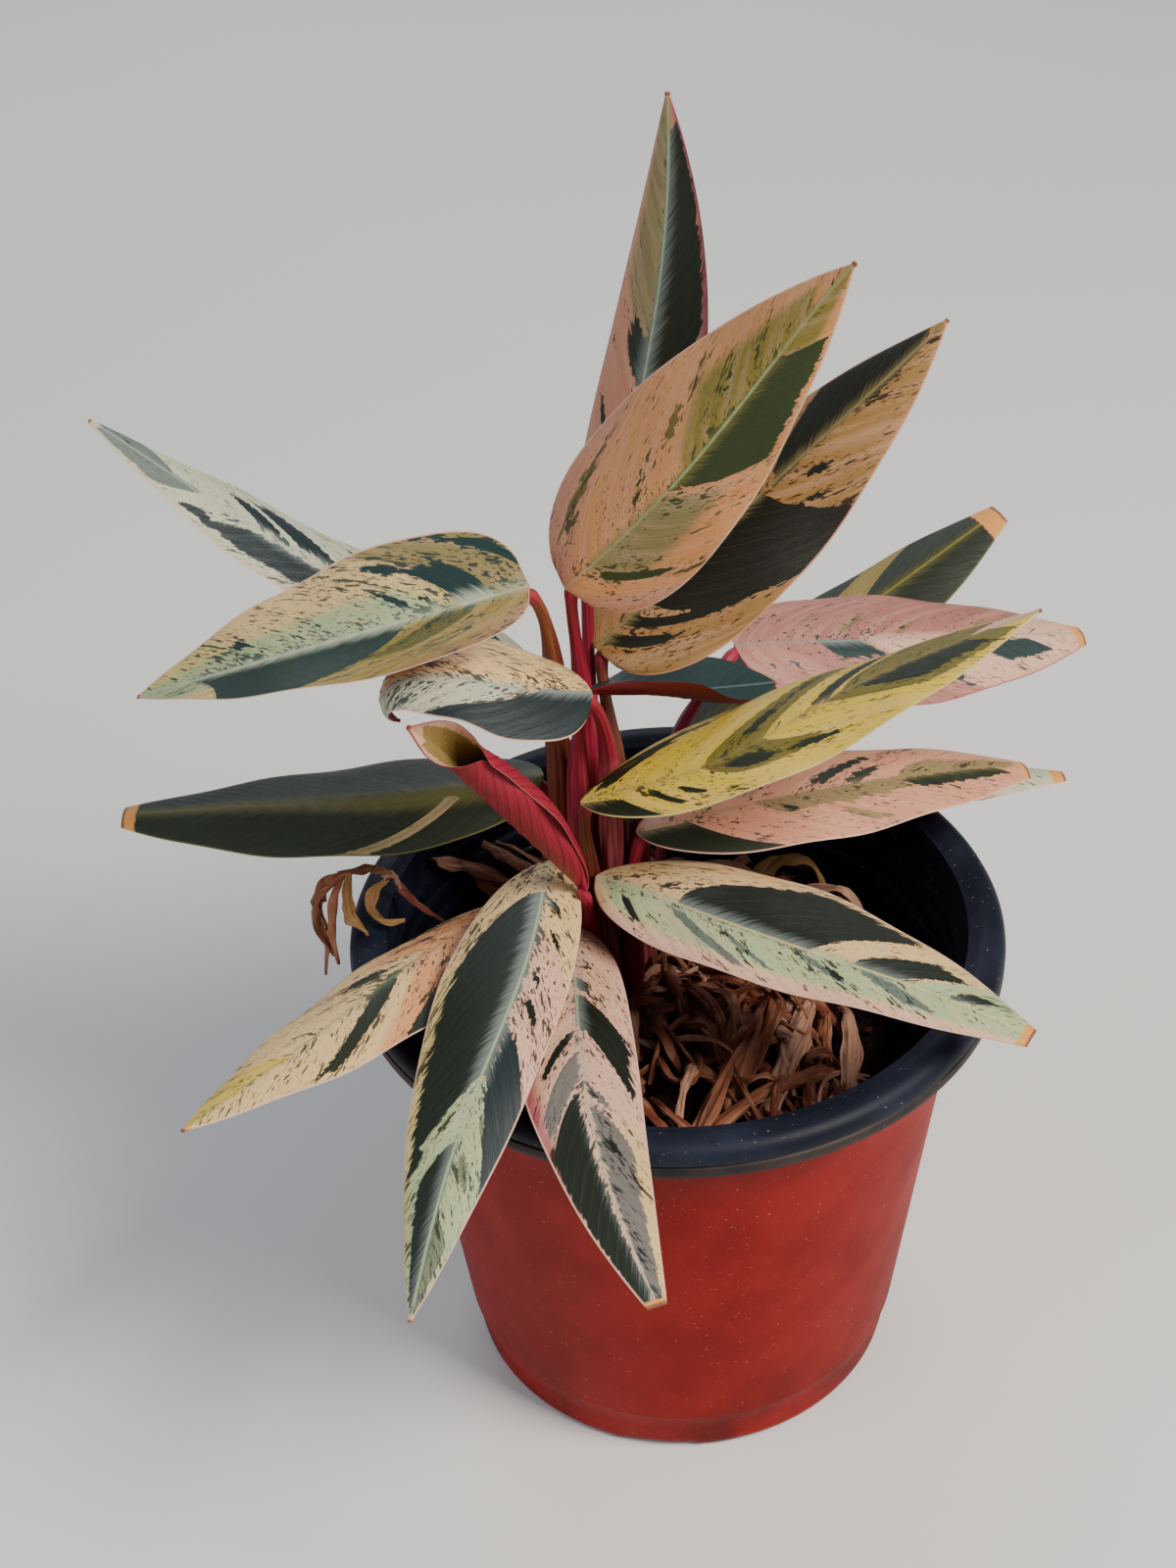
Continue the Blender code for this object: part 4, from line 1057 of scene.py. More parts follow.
@dataclass(frozen=True)
class Stalk:
    """One leaf's stalk: a sheath that stands in the stem, a petiole, and a swollen joint.

    The sheaths of the stem are broad enough to press against one another.

    The path rises straight from the soil to where the stalk leaves the stem, then follows one cubic
    bend that arrives along the blade's midrib.
    """

    blade: Blade
    sheath: Tint = Tint.MAGENTA
    petiole: Tint = Tint.MAGENTA
    foot: float = 0.060
    sheath_radius: float = 0.0029
    petiole_radius: float = 0.0014
    joint_radius: float = 0.0020
    joint_length: float = 0.009
    underlap: float = 0.0030
    blade_drop: float = 0.0010
    start_pull: float = 0.45
    end_pull: float = 0.3
    end_reach: float = 0.005
    joint_end: float = 0.0050
    joint_taper: float = 0.65
    stem_steps: int = 17
    steps: int = 40
    sides: int = 40
    ridges: int = 8
    ridge_depth: float = 0.06

    def path(self) -> tuple[np.ndarray, np.ndarray]:
        """Return the centre line, and its share of the way from the stem to the blade.

        Returns:
            Points of shape n, 3, and shares that are 0 or less in the stem and 1 at the blade.
        """
        form = self.blade.form
        way = self.blade.direction(np.array([0.0]))[0]
        _, _, up = self.blade.midrib(np.array([0.0, 0.01]))
        end = np.array(form.base) + self.underlap * way - self.blade_drop * up[0]
        start = np.array([*form.stand, form.leave])
        span = np.linalg.norm(end - start)
        lift = start + np.array([0.0, 0.0, self.start_pull * span])
        near = end - min(self.end_pull * span, self.end_reach) * way
        share = np.linspace(0.0, 1.0, self.steps)[:, None]
        rest = 1.0 - share
        bend = (rest ** 3 * start + 3.0 * share * rest ** 2 * lift
                + 3.0 * share ** 2 * rest * near + share ** 3 * end)
        heights = np.linspace(self.foot, form.leave, self.stem_steps + 1)[:-1]
        stand = np.full((self.stem_steps, 2), form.stand)
        straight = np.column_stack([stand, heights])
        below = (heights - form.leave) / (form.leave - self.foot)
        return np.vstack([straight, bend]), np.concatenate([below, share[:, 0]])

    def surface(self) -> Surface:
        """Return the stalk as a fluted tube with the values that its finish reads.

        The radius eases from the sheath's to the petiole's where the stalk leaves the stem, and
        swells by a half sine over the joint.
        """
        path, share = self.path()
        lengths = np.concatenate([[0.0], np.cumsum(np.linalg.norm(np.diff(path, axis=0), axis=1))])
        to_end = lengths[-1] - lengths
        slim = step_up(share, -0.10, 0.50)
        radius = self.sheath_radius + (self.petiole_radius - self.sheath_radius) * slim
        swelling = np.clip(1.0 - to_end / self.joint_length, 0.0, 1.0)
        radius += (self.joint_radius - self.petiole_radius) * np.sin(0.5 * math.pi * swelling) ** 2
        radius *= 1.0 - self.joint_taper * step_up(-to_end, -self.joint_end, 0.0)
        angle = np.linspace(0.0, 2.0 * math.pi, self.sides, endpoint=False)[None, :]
        phase = self.ridges * angle + 0.05 * MM * lengths[:, None] + self.blade.index
        flute = 1.0 + self.ridge_depth * np.cos(phase) * (1.0 - swelling[:, None])
        _, side, up = cross_frames(path)
        reach = radius[:, None] * flute
        rings = (path[:, None, :] + (reach * np.cos(angle))[..., None] * side[:, None, :]
                 + (reach * np.sin(angle))[..., None] * up[:, None, :])
        shape = reach.shape
        ones = np.ones(shape)
        values = {
            "grain": np.stack([ones * lengths[:, None] * MM,
                               ones * angle * self.sheath_radius * MM,
                               ones * 17.0 * self.blade.index], axis=-1),
            "sheath": np.broadcast_to(linear(self.sheath), (*shape, 3)),
            "petiole": np.broadcast_to(linear(self.petiole), (*shape, 3)),
            "free": ones * share[:, None],
            "joint": ones * swelling[:, None],
        }
        return tube(rings, values)

    def build(self, finish: bpy.types.Material) -> None:
        """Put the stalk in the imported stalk's place, dressed in its finish."""
        petiole = self.surface().to_object("petiole_" + self.blade.name, finish, "stalk")
        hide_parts("stalk_" + self.blade.name)


@dataclass(frozen=True)
class Pot:
    """The thin-walled nursery pot: one turned profile with notches in its foot and drain holes."""

    height: float = 0.134
    rim_radius: float = 0.080
    rim_drop: float = 0.0088
    wall_top_radius: float = 0.0708
    base_radius: float = 0.056
    wall: float = 0.0016
    lip: float = 0.0006
    floor_top: float = 0.0046
    pole_radius: float = 0.0006
    foot_step: float = 0.0140
    foot_height: float = 0.0026
    foot_ring_width: float = 0.008
    centre_foot_radius: float = 0.020
    inner_steps: int = 3
    first_step: float = 0.0040
    step_drop: float = 0.0065
    step_depth: float = 0.0009
    notch_count: int = 4
    notch_half_width: float = 0.010
    notch_first: float = -98.0
    drain_count: int = 8
    drain_radius: float = 0.0045
    drain_circle: float = 0.034
    peg_heights: tuple[float, float] = (-0.004, 0.012)
    peg_sides: int = 32
    segments: int = 192

    @property
    def rim_bottom(self) -> float:
        """Return the height of the rim's lower edge."""
        return self.height - self.rim_drop

    @property
    def slope(self) -> float:
        """Return how far the wall leans out for each metre that it rises."""
        return (self.wall_top_radius - self.base_radius) / self.rim_bottom

    def inside(self) -> list[tuple[float, float]]:
        """Return the floor's top, the inner wall, and the shallow steps under the rim."""
        floor_radius = self.base_radius - self.wall
        points = [(self.pole_radius, self.floor_top), (0.020, self.floor_top),
                  (0.040, self.floor_top), (floor_radius - 0.0030, self.floor_top),
                  (floor_radius - 0.0008, self.floor_top + 0.0010),
                  (floor_radius, self.floor_top + 0.0030)]
        inner_top = self.wall_top_radius - self.lip
        for step in range(self.inner_steps, 0, -1):
            height = self.height - self.first_step - step * self.step_drop
            radius = inner_top - step * self.step_depth - 0.5 * self.wall
            points += [(radius - 0.0001, height - 0.0012), (radius, height),
                       (radius + 0.5 * self.step_depth, height + 0.0005),
                       (radius + self.step_depth, height + 0.0010)]
        return points + [(inner_top + 0.0003, self.height - 0.0022),
                         (inner_top + 0.0007, self.height - 0.0012)]

    def roll(self) -> list[tuple[float, float]]:
        """Return the rim's rounded top, down to the groove round its edge."""
        steps = ((0.0068, 0.0004), (0.0060, 0.0), (0.0044, 0.0), (0.0030, 0.0001), (0.0018, 0.0006),
                 (0.0008, 0.0015), (0.0002, 0.0027), (0.0, 0.0040), (0.0001, 0.0046),
                 (0.0006, 0.0050))
        return [(self.rim_radius - inwards, self.height - down) for inwards, down in steps]

    def skirt(self) -> list[tuple[float, float]]:
        """Return the rim's edge below the groove, and the turn at its foot."""
        groove = [(self.rim_radius - 0.0006, self.height - 0.0053),
                  (self.rim_radius - 0.0001, self.height - 0.0057)]
        steps = ((0.0, 0.0020), (0.0001, 0.0012), (0.0003, 0.0004), (0.0010, 0.0), (0.0018, 0.0003),
                 (0.0021, 0.0012))
        return groove + [(self.rim_radius - inwards, self.rim_bottom + up) for inwards, up in steps]

    def under_rim(self) -> list[tuple[float, float]]:
        """Return the way back up inside the rim to the top of the wall."""
        return [(self.rim_radius - 0.0023, self.height - 0.0034),
                (self.wall_top_radius + 0.0022, self.height - 0.0036),
                (self.wall_top_radius + 0.0010, self.height - 0.0042)]

    def outside(self) -> list[tuple[float, float]]:
        """Return the sloping wall, the small step at its foot, and the foot's rounded edge."""
        base, slope = self.base_radius, self.slope
        points = [(self.wall_top_radius + 0.0002, self.height - 0.0062)]
        for share in (0.8, 0.6, 0.4, 0.2):
            height = self.foot_step + share * (self.rim_bottom - self.foot_step)
            points.append((base + slope * height, height))
        points += [(base + slope * 0.0146, 0.0146), (base + slope * 0.0140, 0.0140),
                   (base + slope * 0.0135 - 0.0004, 0.0134), (base + slope * 0.0128 - 0.0006, 0.0127)]
        edge = ((0.0002, 0.0080), (0.0004, 0.0030), (0.0007, 0.0014), (0.0014, 0.0005), (0.0024, 0.0))
        return points + [(base - inwards, height) for inwards, height in edge]

    def underside(self) -> list[tuple[float, float]]:
        """Return the ring that the pot stands on, the hollow within it, and the middle foot."""
        ring = self.base_radius - self.foot_ring_width
        return [(ring, 0.0), (ring - 0.0010, self.foot_height), (0.038, self.foot_height),
                (0.030, self.foot_height), (self.centre_foot_radius + 0.0010, self.foot_height),
                (self.centre_foot_radius, 0.0), (self.pole_radius, 0.0)]

    def profile(self) -> tuple[np.ndarray, np.ndarray]:
        """Return the outline from the middle of the inside floor round to the underside's middle.

        Returns:
            Radius and height pairs, and for each 1 where the plastic is red, 0 where it is black
            and a half where it is brownish grey.
        """
        stretches = ((self.inside(), 0.0), (self.roll(), 0.0), (self.skirt(), 0.5),
                     (self.under_rim(), 0.0), (self.outside(), 1.0), (self.underside(), 1.0))
        points = [point for stretch, _ in stretches for point in stretch]
        return np.array(points), np.array([part for stretch, part in stretches for _ in stretch])

    def surface(self) -> Surface:
        """Return the turned pot, whose foot is lifted over each notch by a smooth step."""
        profile, red = self.profile()
        angle = np.linspace(0.0, 2.0 * math.pi, self.segments, endpoint=False)
        radius, height = (part[:, None] * np.ones_like(angle) for part in profile.T)
        pitch = 2.0 * math.pi / self.notch_count
        off = (angle - math.radians(self.notch_first) + 0.5 * pitch) % pitch - 0.5 * pitch
        notch = step_up(-np.abs(off) * self.base_radius, -self.notch_half_width,
                        -self.notch_half_width + 0.0012)
        ring = radius > self.base_radius - self.foot_ring_width - 0.0005
        height = np.where(ring, np.maximum(height, notch * (self.foot_height - 0.0004)), height)
        rings = np.stack([radius * np.cos(angle), radius * np.sin(angle), height], axis=-1)
        return tube(rings[:, ::-1], {"red": red[:, None] * np.ones_like(angle)})

    def pegs(self) -> Surface:
        """Return the round pegs that cut the drain holes, one circle of them."""
        turn = np.linspace(0.0, 2.0 * math.pi, self.peg_sides, endpoint=False)
        pegs = []
        for index in range(self.drain_count):
            angle = math.radians(self.notch_first + (index + 0.5) * 360.0 / self.drain_count)
            x = self.drain_circle * math.cos(angle) + self.drain_radius * np.cos(turn)
            y = self.drain_circle * math.sin(angle) + self.drain_radius * np.sin(turn)
            rings = np.stack([np.stack([x, y, np.full(self.peg_sides, height)], axis=-1)
                              for height in self.peg_heights])
            pegs.append(tube(rings, {}))
        return Surface.joined(pegs)

    def drill(self, pot: bpy.types.Object) -> None:
        """Cut the drain holes through the floor and keep the cut mesh in the pot's object.

        Args:
            pot: the pot's object, whose mesh is replaced.
        """
        cutter = put("drain_pegs", self.pegs().to_mesh("drain_pegs"))
        cut = pot.modifiers.new("drains", "BOOLEAN")
        cut.operation = "DIFFERENCE"
        cut.solver = "EXACT"
        cut.object = cutter
        bpy.context.view_layer.update()
        graph = bpy.context.evaluated_depsgraph_get()
        drilled = bpy.data.meshes.new_from_object(pot.evaluated_get(graph))
        pot.modifiers.clear()
        pot.data = drilled
        bpy.data.objects.remove(cutter, do_unlink=True)

    def build(self, finish: bpy.types.Material) -> None:
        """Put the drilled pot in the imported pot's place, dressed in its finish."""
        shell = self.surface().to_object("pot_shell", finish, "pot_plastic", crease=40.0)
        self.drill(shell)
        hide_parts("pot")


@dataclass(frozen=True)
class Soil:
    """The potting soil: a lumpy top on a plug that fills the pot, and loose crumbs."""

    pot: Pot
    top: float = 0.100
    heap: float = 0.0022
    wall_gap: float = 0.0020
    floor_gap: float = 0.0003
    foot_gap: float = 0.0034
    lumps: float = 0.0009
    grit: float = 0.0004
    pole_share: float = 0.004
    rings: int = 90
    segments: int = 220
    crumb_count: int = 1500
    crumb_size: tuple[float, float] = (0.0004, 0.0020)
    moss: tuple[float, ...] = (0.0265, -0.0375)
    moss_radius: float = 0.006
    seed: int = 11

    @property
    def radius(self) -> float:
        """Return the radius of the soil's top, a little inside the pot's wall."""
        pot = self.pot
        return pot.base_radius + pot.slope * self.top - pot.wall - self.wall_gap

    def height(self, x: np.ndarray, y: np.ndarray) -> np.ndarray:
        """Return the smooth height of the top: two low waves that die out at the wall."""
        fade = np.clip(1.0 - (x ** 2 + y ** 2) / self.radius ** 2, 0.0, 1.0)
        wave = np.sin(90.0 * x + 1.0) * np.cos(70.0 * y) + 0.5 * np.sin(160.0 * y - 100.0 * x)
        return self.top - self.heap + self.heap * fade * (1.0 + 0.6 * wave)

    def rough_height(self, x: np.ndarray, y: np.ndarray) -> np.ndarray:
        """Return the top's height with its lumps, from 12 mm down to 3 mm wide, and finer grit."""
        lumps = self.lumps * ripples(x, y, self.seed, 0.012, 0.003)
        grit = self.grit * ripples(x, y, self.seed + 1, 0.003, 0.001)
        return self.height(x, y) + lumps + grit - self.grit

    def surface(self) -> Surface:
        """Return the plug: its side, and rings on its top that follow the rough height."""
        turn = np.linspace(0.0, 2.0 * math.pi, self.segments, endpoint=False)[None, :]
        share = np.linspace(1.0, self.pole_share, self.rings)[:, None]
        x, y = self.radius * share * np.cos(turn), self.radius * share * np.sin(turn)
        top = np.stack([x, y, self.rough_height(x, y)], axis=-1)
        low = self.pot.floor_top + self.floor_gap
        foot = self.pot.base_radius - self.pot.wall - self.foot_gap
        side = []
        for radius, height in ((0.002, low), (foot, low), (foot + 0.0016, low + 0.0040),
                               (self.radius - 0.0004, self.top - self.heap - 0.0030)):
            side.append(np.stack([radius * np.cos(turn[0]), radius * np.sin(turn[0]),
                                  np.full(self.segments, height)], axis=-1))
        return tube(np.concatenate([np.stack(side), top]), {})

    def crumbs(self) -> Surface:
        """Return loose crumbs: small lumpy stones that lie on the top, no two alike.

        Each is an eight-faced stone whose corners are jittered, then flattened, sized and turned.
        """
        rng = np.random.default_rng(self.seed + 2)
        count = self.crumb_count
        place = self.radius * np.sqrt(rng.random(count)) * 0.99
        turn = rng.random(count) * 2.0 * math.pi
        x, y = place * np.cos(turn), place * np.sin(turn)
        least, most = self.crumb_size
        size = least + (most - least) * rng.random(count) ** 3
        corners = np.array([(0, 0, -1), (1, 0, -0.2), (0.2, 1, 0), (-1, 0.1, 0.1), (0, -1, 0.15),
                            (0.1, 0.1, 1)], float)
        faces = np.array([(0, 2, 1), (0, 3, 2), (0, 4, 3), (0, 1, 4), (5, 1, 2), (5, 2, 3), (5, 3, 4),
                          (5, 4, 1)])
        jitter = 1.0 + 0.35 * (rng.random((count, len(corners), 3)) - 0.5)
        flat = 1.0 - 0.5 * rng.random((count, 1, 3))
        points = corners[None] * jitter * flat * size[:, None, None]
        spin = rng.random(count) * 2.0 * math.pi
        cos, sin = np.cos(spin)[:, None], np.sin(spin)[:, None]
        turned = np.stack([points[..., 0] * cos - points[..., 1] * sin,
                           points[..., 0] * sin + points[..., 1] * cos, points[..., 2]], axis=-1)
        centre = np.stack([x, y, self.rough_height(x, y) + 0.35 * size], axis=-1)
        points = (turned + centre[:, None, :]).reshape(-1, 3)
        steps = (np.arange(count) * len(corners))[:, None, None]
        mossy = np.hypot(x - self.moss[0], y - self.moss[1]) < self.moss_radius
        shade = np.repeat(rng.random(count) + mossy, len(corners))
        return Surface(points, [(faces[None] + steps).reshape(-1, 3)], {"shade": shade})

    def build(self, earth: bpy.types.Material, crumb: bpy.types.Material) -> None:
        """Put the plug in the packed soil's place, and add the loose crumbs."""
        plug = self.surface().to_object("soil_top", earth, "soil", crease=80.0)
        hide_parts("soil")
        self.crumbs().to_object("soil_crumbs", crumb, "soil", crease=20.0)


@dataclass(frozen=True)
class Strip:
    """One dried strip: its width, the points of its middle line, and how it lies.

    A point's last number is its height above the soil, or above the ground where it hangs from a
    knot. tilt is how far the flat side leans, turn how much further it leans at the far end, and
    tint its colour.
    """

    width: float
    points: tuple[tuple[float, float, float], ...]
    tilt: float = 0.0
    turn: float = 30.0
    tint: Tint = Tint.BARK


@dataclass(frozen=True)
class Wisps:
    """A drift of loose strands on the soil, thrown at random round a middle.

    reach is the drift's half size along X and Y, heading the way that most strands run, from 0
    along +X, spread how far they turn from it, and top how high the highest one arches.
    """

    count: int
    middle: tuple[float, float]
    reach: tuple[float, float]
    heading: float
    spread: float
    top: float
    length: tuple[float, float] = (0.012, 0.034)
    width: tuple[float, float] = (0.0014, 0.0080)


@dataclass(frozen=True)
class Tangle:
    """A tangle of strips. on_soil tells whether it lies on the soil or hangs over the rim."""

    name: str
    strips: tuple[Strip, ...]
    wisps: tuple[Wisps, ...] = ()
    on_soil: bool = True


TANGLES: tuple[Tangle, ...] = (
    Tangle("front", strips=(
        Strip(0.0075, ((0.033, 0.002, 0.003), (0.0322, -0.006, 0.009), (0.028, -0.018, 0.01),
              (0.0225, -0.0313, 0.007), (0.02, -0.037, 0.002)), tilt=-15, turn=25, tint=Tint.FAWN),
        Strip(0.005, ((0.041, 0.0, 0.003), (0.0425, -0.008, 0.008), (0.0418, -0.02, 0.009),
              (0.04, -0.03, 0.006), (0.0385, -0.038, 0.002)), turn=20, tint=Tint.FAWN),
        Strip(0.0035, ((0.037, -0.002, 0.003), (0.0365, -0.01, 0.009), (0.035, -0.02, 0.008),
              (0.036, -0.028, 0.003)), turn=-30, tint=Tint.BARK),
        Strip(0.0052, ((0.04, -0.023, 0.003), (0.033, -0.028, 0.008), (0.02, -0.035, 0.009),
              (0.008, -0.043, 0.006), (0.002, -0.048, 0.001)), tilt=10, tint=Tint.BARK),
        Strip(0.006, ((0.024, -0.008, 0.002), (0.0186, -0.0167, 0.009), (0.011, -0.028, 0.01),
              (0.004, -0.04, 0.006), (0.0, -0.046, 0.001)), tilt=20, turn=-40, tint=Tint.BARK),
        Strip(0.0065, ((0.022, 0.002, 0.002), (0.023, -0.006, 0.01), (0.02, -0.018, 0.011),
              (0.013, -0.033, 0.007), (0.01, -0.04, 0.002)), tilt=-10, turn=50, tint=Tint.BARK),
        Strip(0.0022, ((-0.009, -0.012, 0.001), (-0.001, -0.017, 0.009), (0.01, -0.022, 0.011),
              (0.019, -0.029, 0.004))),
        Strip(0.0022, ((-0.008, -0.015, 0.001), (-0.0056, -0.02, 0.006), (-0.003, -0.029, 0.008),
              (0.002, -0.0305, 0.008), (0.0042, -0.024, 0.007), (0.0034, -0.015, 0.002))),
        Strip(0.0034, ((-0.008, -0.029, 0.001), (-0.004, -0.038, 0.006), (0.002, -0.046, 0.007),
              (0.009, -0.048, 0.003)), tint=Tint.RUST),
        Strip(0.004, ((-0.004, 0.0, 0.002), (0.003, -0.002, 0.011), (0.009, -0.012, 0.012),
              (0.012, -0.025, 0.003)), turn=-50, tint=Tint.RUST),
        Strip(0.0045, ((0.006, 0.004, 0.002), (0.012, -0.004, 0.012), (0.014, -0.014, 0.012),
              (0.011, -0.026, 0.002)), turn=60, tint=Tint.BARK),
        Strip(0.004, ((0.018, 0.005, 0.002), (0.026, 0.002, 0.009), (0.035, -0.004, 0.008),
              (0.044, -0.012, 0.001)), tint=Tint.RUST),
    ), wisps=(
        Wisps(60, (0.012, -0.02), (0.028, 0.025), -70.0, 75.0, 0.01),
        Wisps(40, (0.004, 0.0), (0.018, 0.014), -60.0, 90.0, 0.013),
        Wisps(20, (0.03, -0.034), (0.012, 0.01), -20.0, 90.0, 0.004, (0.006, 0.014)),
    )),
    Tangle("back", strips=(
        Strip(0.0062, ((-0.0595, 0.029, 0.033), (-0.051, 0.036, 0.025), (-0.0405, 0.041, 0.014),
              (-0.03, 0.041, 0.003)), tilt=-20, tint=Tint.FAWN),
        Strip(0.005, ((-0.048, 0.041, 0.028), (-0.042, 0.041, 0.024), (-0.035, 0.041, 0.017),
              (-0.026, 0.04, 0.004)), tilt=-20, tint=Tint.FAWN),
        Strip(0.0055, ((-0.022, 0.037, 0.002), (-0.035, 0.037, 0.01), (-0.046, 0.0375, 0.016),
              (-0.05, 0.037, 0.022)), tint=Tint.TAN),
        Strip(0.004, ((-0.02, 0.044, 0.002), (-0.029, 0.045, 0.012), (-0.038, 0.047, 0.019),
              (-0.045, 0.048, 0.023)), turn=-50, tint=Tint.FAWN),
        Strip(0.005, ((-0.026, 0.046, 0.002), (-0.018, 0.049, 0.014), (-0.006, 0.05, 0.016),
              (0.008, 0.048, 0.002)), tint=Tint.BARK),
        Strip(0.006, ((-0.006, 0.038, 0.002), (0.002, 0.042, 0.012), (0.016, 0.046, 0.013),
              (0.028, 0.044, 0.002)), turn=-30, tint=Tint.FAWN),
        Strip(0.0085, ((0.018, 0.048, 0.002), (0.028, 0.049, 0.012), (0.038, 0.045, 0.013),
              (0.043, 0.037, 0.003)), tilt=20, tint=Tint.TAN),
        Strip(0.0055, ((0.024, 0.042, 0.002), (0.035, 0.038, 0.01), (0.045, 0.034, 0.013),
              (0.049, 0.029, 0.01)), tint=Tint.FAWN),
    ), wisps=(
        Wisps(45, (0.006, 0.04), (0.034, 0.014), 0.0, 60.0, 0.01),
        Wisps(25, (-0.034, 0.034), (0.018, 0.016), 150.0, 60.0, 0.01),
    )),
    Tangle("rim", on_soil=False, strips=(
        Strip(0.0042, ((-0.081, 0.0135, 0.1405), (-0.086, 0.013, 0.1385),
              (-0.0882, 0.0125, 0.132), (-0.0872, 0.012, 0.124), (-0.089, 0.013, 0.108)), turn=60),
        Strip(0.0026, ((-0.082, 0.0125, 0.14), (-0.088, 0.01, 0.136),
              (-0.0886, 0.008, 0.129), (-0.085, 0.006, 0.12)), turn=-40),
        Strip(0.004, ((-0.08, 0.013, 0.1408), (-0.08, 0.006, 0.1392),
              (-0.079, 0.0, 0.1372), (-0.075, -0.005, 0.1364)), turn=40, tint=Tint.TAN),
        Strip(0.0024, ((-0.081, 0.0135, 0.1405), (-0.0835, 0.007, 0.1385),
              (-0.084, 0.0, 0.133), (-0.083, -0.003, 0.125))),
        Strip(0.004, ((-0.083, 0.014, 0.14), (-0.075, 0.014, 0.1416),
              (-0.0695, 0.013, 0.14)), tint=Tint.BARK),
        Strip(0.005, ((-0.0715, 0.014, 0.1404), (-0.069, 0.0125, 0.1398),
              (-0.0672, 0.01, 0.1375)), tilt=30, tint=Tint.FAWN),
        Strip(0.0026, ((-0.0695, 0.013, 0.1395), (-0.0665, 0.01, 0.1365),
              (-0.062, 0.007, 0.134), (-0.057, 0.006, 0.13)), tint=Tint.RUST),
        Strip(0.003, ((-0.0695, 0.013, 0.1395), (-0.0735, 0.009, 0.1385),
              (-0.0745, 0.004, 0.1372), (-0.071, -0.001, 0.137), (-0.066, -0.001, 0.137)),
              tint=Tint.TAN),
    )),
)


@dataclass(frozen=True)
class DriedStrip:
    """A dried strip as a thin crumpled sheet: an arc for a cross-section, with lengthwise pleats.

    lift is what the ground adds to its points' heights. sway is how far it rocks about its line,
    and curl the arc's half angle and how far that waves, all in degrees. The depths of pleats and
    crumples are shares of the half width. Wide strips have more points across than thin ones.
    """

    strip: Strip
    lift: np.ndarray | None
    seed: int
    thickness: float = 0.0004
    steps: int = 8
    wide: float = 0.003
    wide_columns: int = 11
    thin_columns: int = 5
    end_share: float = 0.5
    end_power: float = 2.5
    sway: float = 20.0
    curl: tuple[float, float] = (50.0, 40.0)
    pleat_depth: float = 0.13
    crumple_depth: float = 0.10
    seed_step: float = 23.0

    def surface(self) -> Surface:
        """Return the closed sheet.

        The cross-section is an arc that turns about the line by tilt plus turn times the share.
        Sine waves along it make its width ragged, and waves across it make its pleats.
        """
        strip = self.strip
        known = np.array(strip.points, float)
        if self.lift is not None:
            known[:, 2] += self.lift
        line = smooth_line(tuple(map(tuple, known)), self.steps)
        share = np.linspace(0.0, 1.0, len(line))
        rng = np.random.default_rng(self.seed)
        start = rng.random(8) * 2.0 * math.pi
        forward = np.gradient(line, axis=0)
        forward /= np.linalg.norm(forward, axis=1, keepdims=True)
        level = np.cross(forward, (0.0, 0.0, 1.0))
        level /= np.maximum(np.linalg.norm(level, axis=1, keepdims=True), 1e-6)
        above = np.cross(level, forward)
        sway = self.sway * np.sin(7.0 * share + start[3])
        turn = np.radians(strip.tilt + strip.turn * share + sway)[:, None]
        side = np.cos(turn) * level + np.sin(turn) * above
        up = np.cos(turn) * above - np.sin(turn) * level
        taper = 1.0 - (1.0 - self.end_share) * np.abs(2.0 * share - 1.0) ** self.end_power
        ragged = 1.0 + 0.12 * np.sin(9.0 * share + start[0]) + 0.10 * np.sin(25.0 * share + start[1])
        width = 0.5 * strip.width * taper * ragged
        across = np.linspace(-1.0, 1.0, self.wide_columns if strip.width > self.wide
                             else self.thin_columns)
        even, wave = (math.radians(angle) for angle in self.curl)
        curl = even + wave * np.sin(5.0 * share + start[2])
        bend = curl[:, None] * across[None, :]
        radius = (width / curl)[:, None]
        out, high = radius * np.sin(bend), radius * (np.cos(bend) - 1.0)
        pleat = np.sin(9.0 * across[None, :] + 5.0 * share[:, None] + start[4])
        crumple = np.sin(17.0 * share[:, None] + 3.0 * across[None, :] + start[5])
        fold = width[:, None] * (self.pleat_depth * pleat + self.crumple_depth * crumple)
        middle = (line[:, None, :] + out[..., None] * side[:, None, :]
                  + (high + fold)[..., None] * up[:, None, :])
        normal = np.cross(np.gradient(middle, axis=1), np.gradient(middle, axis=0))
        normal /= np.maximum(np.linalg.norm(normal, axis=2, keepdims=True), 1e-12)
        rounded = 0.5 * self.thickness * np.sqrt(np.clip(1.0 - across ** 6, 0.0, 1.0))
        top = middle + rounded[None, :, None] * normal
        bottom = middle - rounded[None, :, None] * normal
        back = slice(-2, 0, -1)
        rings = np.concatenate([top, bottom[:, back]], axis=1)
        length = np.linalg.norm(np.diff(line, axis=0), axis=1).sum()
        shape = middle.shape[:2]
        grain = np.stack([np.broadcast_to(share[:, None] * length * MM, shape),
                          width[:, None] * across * MM,
                          np.full(shape, self.seed_step * self.seed)], axis=-1)
        tint = np.broadcast_to(linear(strip.tint), (*shape, 3))
        values = {name: np.concatenate([value, value[:, back]], axis=1)
                  for name, value in (("grain", grain), ("tint", tint))}
        return tube(rings, values)


